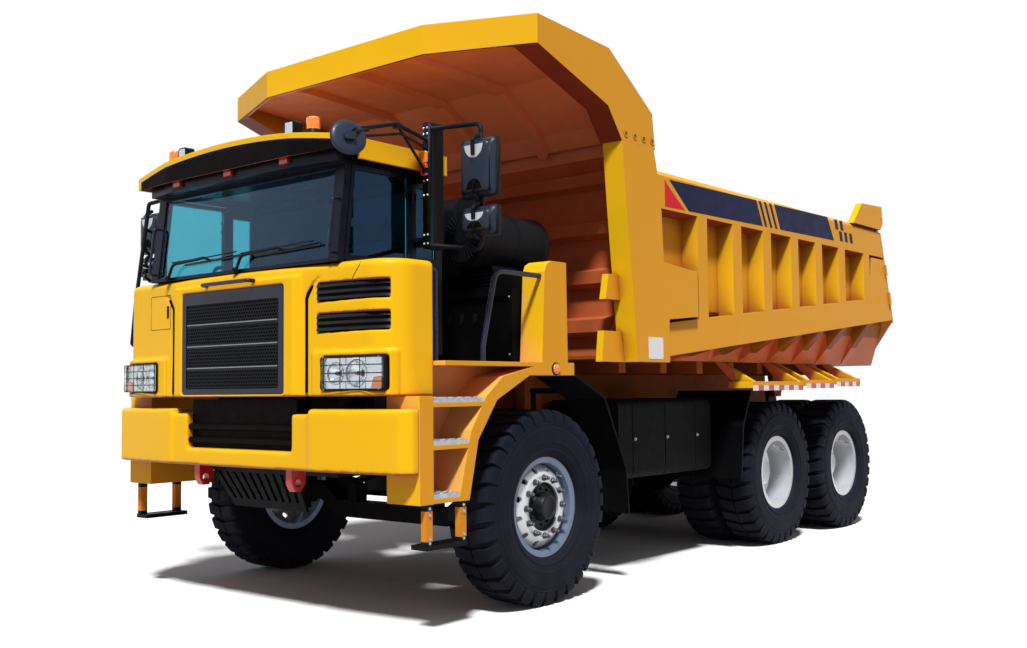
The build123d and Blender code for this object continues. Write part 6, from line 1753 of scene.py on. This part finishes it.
@dataclass
class Cabinets:
    """Catches and bolts of the cabinets behind the cab, and the air cleaner's moulded casing."""

    catch_places: tuple[float, ...] = (0.76, 0.89, 1.02)
    drum_centre: Flat = (1.040, 2.610)
    drum_front: float = -0.300
    drum_rear: float = 0.428
    drum_radius: float = 0.2045
    rib_pitch: float = 0.0165
    fins: int = 54

    def build(self) -> None:
        """Build the fittings of both cabinets and the air cleaner's casing."""
        self.fittings()
        self.drum()

    def drum(self) -> None:
        """Finely ribbed casing between three bands, closed by a cap of radial fins."""
        x, z = self.drum_centre
        origin, ahead = at(x, 0, z), Vector((0, 1, 0))
        shape = Shape()
        profile = [(self.drum_front, 0.0), (self.drum_front, self.drum_radius - 0.012),
                   (self.drum_front + 0.010, self.drum_radius + 0.004),
                   (self.drum_front + 0.034, self.drum_radius + 0.004)]
        y = self.drum_front + 0.040
        while y < self.drum_rear - 0.06:
            band = abs(y - 0.06) < 0.02
            lift = 0.006 if band else 0.0035
            profile += [(y, self.drum_radius), (y + 0.002, self.drum_radius + lift),
                        (y + self.rib_pitch - 0.004, self.drum_radius + lift),
                        (y + self.rib_pitch - 0.002, self.drum_radius)]
            y += self.rib_pitch
        profile += [(self.drum_rear - 0.030, self.drum_radius + 0.006),
                    (self.drum_rear - 0.006, self.drum_radius + 0.006),
                    (self.drum_rear, self.drum_radius - 0.006), (self.drum_rear, 0.0)]
        shape.turned(profile, origin, ahead, MOULDED_BLACK, 96)
        shape.finish("air_cleaner_casing", "chassis", "chassis_black", smooth_deg=30)
        cap = Shape()
        cap.turned([(0.0, 0.0), (0.0, 0.062), (-0.016, 0.060), (-0.022, 0.050), (-0.022, 0.0)],
                   at(x, self.drum_front - 0.012, z), ahead, MOULDED_BLACK, 48)
        cap.turned([(0.012, 0.176), (-0.016, 0.186), (-0.016, 0.196), (0.012, 0.1985)],
                   at(x, self.drum_front, z), ahead, MOULDED_BLACK, 96)
        for step in range(self.fins):
            angle = 2 * math.pi * step / self.fins
            spoke = Vector((math.cos(angle), 0, math.sin(angle)))
            side = Vector((-math.sin(angle), 0, math.cos(angle)))
            foot = at(x, self.drum_front - 0.003, z)
            outline = [(0.058, 0.0), (0.188, 0.0), (0.188, -0.012), (0.120, -0.026), (0.062, -0.024)]
            rings = [[foot + spoke * reach + Vector((0, out, 0)) + side * (shift + 0.16 * (reach - 0.058))
                      for reach, out in outline] for shift in (-0.0022, 0.0022)]
            cap.loft(rings, MOULDED_BLACK)
        cap.finish("air_cleaner_cap", "chassis", "chassis_black", smooth_deg=30)

    def fittings(self) -> None:
        """Catches and bolts on the cabinets' fronts."""
        for side, sign in SIDES.items():
            shape = Shape()
            for x in self.catch_places:
                face = Face(meet("equipment_cabinets", at(sign * x, -1.0, 2.04), (0, 1, 0)), ACROSS, UP)
                face.slab(shape, rounded(0.018, 0.030, 0.004), -0.002, 0.008, MOULDED_BLACK)
                shape.pipe(arc_path([face.place(-0.010, 0.02, 0.008), face.place(-0.010, -0.045, 0.016),
                                     face.place(0.010, -0.045, 0.016), face.place(0.010, 0.02, 0.008)],
                                    0.008), 0.0035, MOULDED_BLACK, 8)
            for x in (0.64, 1.36):
                for z in (1.76, 2.17):
                    place = meet("equipment_cabinets", at(sign * x, -1.0, z), (0, 1, 0))
                    shape.bolt(place, Vector((0, -1, 0)), 0.014, 0.008, ZINC_BOLT)
            shape.finish(f"cabinet_fittings_{side}", "chassis", "chassis_black", bevel=0.001)


@dataclass
class ChassisTrim:
    """Frame bolts, tank straps and caps, and the side repeaters."""

    strap_places: tuple[float, ...] = (1.50, 2.00, 2.50)

    def build(self) -> None:
        """Build the chassis trim of each side."""
        for side, sign in SIDES.items():
            self.frame_bolts(side, sign)
            self.tank(side, sign)
            self.repeater(side, sign)

    def frame_bolts(self, side: str, sign: int) -> None:
        """Pairs of zinc bolts along the frame rail."""
        shape = Shape()
        outward = Vector((sign, 0, 0))
        for y in (-1.24, -0.40, -0.25, 0.70, 1.41, 2.10, 2.89, 3.30, 4.10, 4.59, 5.10, 5.78):
            for z in (1.10, 1.28):
                place = meet("chassis_frame", at(sign * 0.62, y, z), (-sign, 0, 0))
                if abs(place.x) < 0.6:
                    shape.bolt(place, outward, 0.024, 0.014, ZINC_BOLT)
        shape.finish(f"frame_bolts_{side}", "chassis", "chassis_black")

    def tank(self, side: str, sign: int) -> None:
        """Straps round the tank, with their bolts, and its cap."""
        low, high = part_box("tanks")
        inner, outer, corner = 0.562, high.x, 0.07
        shape = Shape()
        for y in self.strap_places:
            rings = []
            for lift, shift in ((0.003, -0.03), (0.003, 0.03), (-0.001, 0.03), (-0.001, -0.03)):
                half_u, half_v = (outer - inner) / 2 + lift, (high.z - low.z) / 2 + lift
                middle = at(sign * (outer + inner) / 2, y + shift, (low.z + high.z) / 2)
                rings.append([middle + Vector((u, 0, v))
                              for u, v in rounded(half_u, half_v, corner + lift, 6)])
            shape.ring(rings, CHASSIS_BLACK)
            shape.bolt(at(sign * (outer + 0.004), y, (low.z + high.z) / 2), Vector((sign, 0, 0)), 0.02, 0.012,
                       ZINC_BOLT)
        cap = at(sign * 1.02, 1.36, high.z - 0.002)
        shape.turned([(0, 0), (0, 0.055), (0.02, 0.055), (0.024, 0.050), (0.045, 0.050), (0.05, 0.044),
                      (0.05, 0)], cap, UP, CHASSIS_BLACK, 32)
        shape.finish(f"tank_fittings_{side}", "chassis", "chassis_black", bevel=0.001)

    def repeater(self, side: str, sign: int) -> None:
        """Round amber side repeater with its black base at the wing's rear end."""
        place = meet("wings", at(sign * 2.0, 0.02, 1.655), (-sign, 0, 0))
        lens, base = Shape(), Shape()
        outward = Vector((sign, 0, 0))
        base.turned([(-0.002, 0), (-0.002, 0.046), (0.006, 0.046), (0.009, 0.040), (0.009, 0)], place,
                    outward, MOULDED_BLACK, 32)
        lens.turned([(0.006, 0), (0.006, 0.039), (0.014, 0.036), (0.022, 0.024), (0.025, 0.010), (0.0255, 0)],
                    place, outward, AMBER_LENS, 32)
        base.finish(f"repeater_base_{side}", "chassis", "chassis_black")
        lens.finish(f"repeater_lens_{side}", "chassis", "amber_lens", smooth_deg=60)


# ---- Paint ------------------------------------------------------------------------------


@dataclass
class Paintwork:
    """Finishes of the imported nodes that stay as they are."""

    finishes: tuple[tuple[Finish, tuple[str, ...]], ...] = (
        # The yellow enamels carry painted shade on flanks, undersides and recesses, the body's also inside
        # it.
        (CAB_YELLOW, ("cab_roof", "front_panel", "bumper")),
        (BODY_YELLOW, ("body_canopy", "body_guards")),
        (SIDE_YELLOW, ("body_side_left", "body_side_right")),
        (WING_YELLOW, ("wings", "tailgate")),
        # Bulkhead and floor beams take browns that are painted shade.
        (BULKHEAD_SHADE_BROWN, ("body_bulkhead",)),
        (BEAM_SHADE_BROWN, ("body_floor",)),
        (RAIL_NAVY, ("handrails",)),
        (CAB_NAVY, ("cab_shell", "door_left", "door_right")),
        (CHASSIS_BLACK, ("chassis_frame", "front_axle", "drive_axles", "springs", "driveline", "radiator",
                         "knuckle_left", "knuckle_right", "tie_rod", "skid_grating", "hoist_barrel_left",
                         "hoist_barrel_right", "tanks", "mudguards", "equipment_cabinets")),
        (MOULDED_BLACK, ("air_cleaner", "mirrors", "work_lamps")),
        # The grille's backing takes near-black painted shade.
        (SHADE_BLACK, ("grille",)),
        (ENGINE_GREY, ("engine",)),
        (RIM_SILVER, ("front_rim_left", "front_rim_right", "middle_rims_left", "middle_rims_right",
                      "rear_rims_left", "rear_rims_right")),
        (CAB_GLASS, ("cab_glass", "door_glass_left", "door_glass_right")),
        (LAMP_LENS, ("headlights",)),
        (AMBER_LENS, ("beacons",)),
        (RED_LENS, ("marker_lamps",)),
        (HOOK_RED, ("tow_hooks",)),
        (ZINC_TREAD, ("step_treads",)),
        (STEP_FRAME, ("hanging_steps",)),
        (HOIST_CHROME, ("hoist_rod_left", "hoist_rod_right")),
        (CAB_TRIM, ("cab_interior",)),
        (TYRE_RUBBER, ("front_tyre_left", "front_tyre_right", "middle_tyres_left", "middle_tyres_right",
                       "rear_tyres_left", "rear_tyres_right")),
    )

    def build(self) -> None:
        """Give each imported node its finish."""
        for finish, nodes in self.finishes:
            paint(finish, *nodes)
            log.info("%s on %s", finish.name, ", ".join(nodes))


def main() -> None:
    """Build the scene in order; each piece logs its face count."""
    logging.basicConfig(level=logging.INFO, format="%(message)s")
    Studio().build()
    Paintwork().build()
    for assembly in (Tyres(), Rims(), Grille(), Louvres(), Headlamps(), FrontTrim(), Cab(), Interior(),
                     LoadBody(), Steps(), Cabinets(), ChassisTrim(), Pressings()):
        assembly.build()


if __name__ == "__main__":
    main()
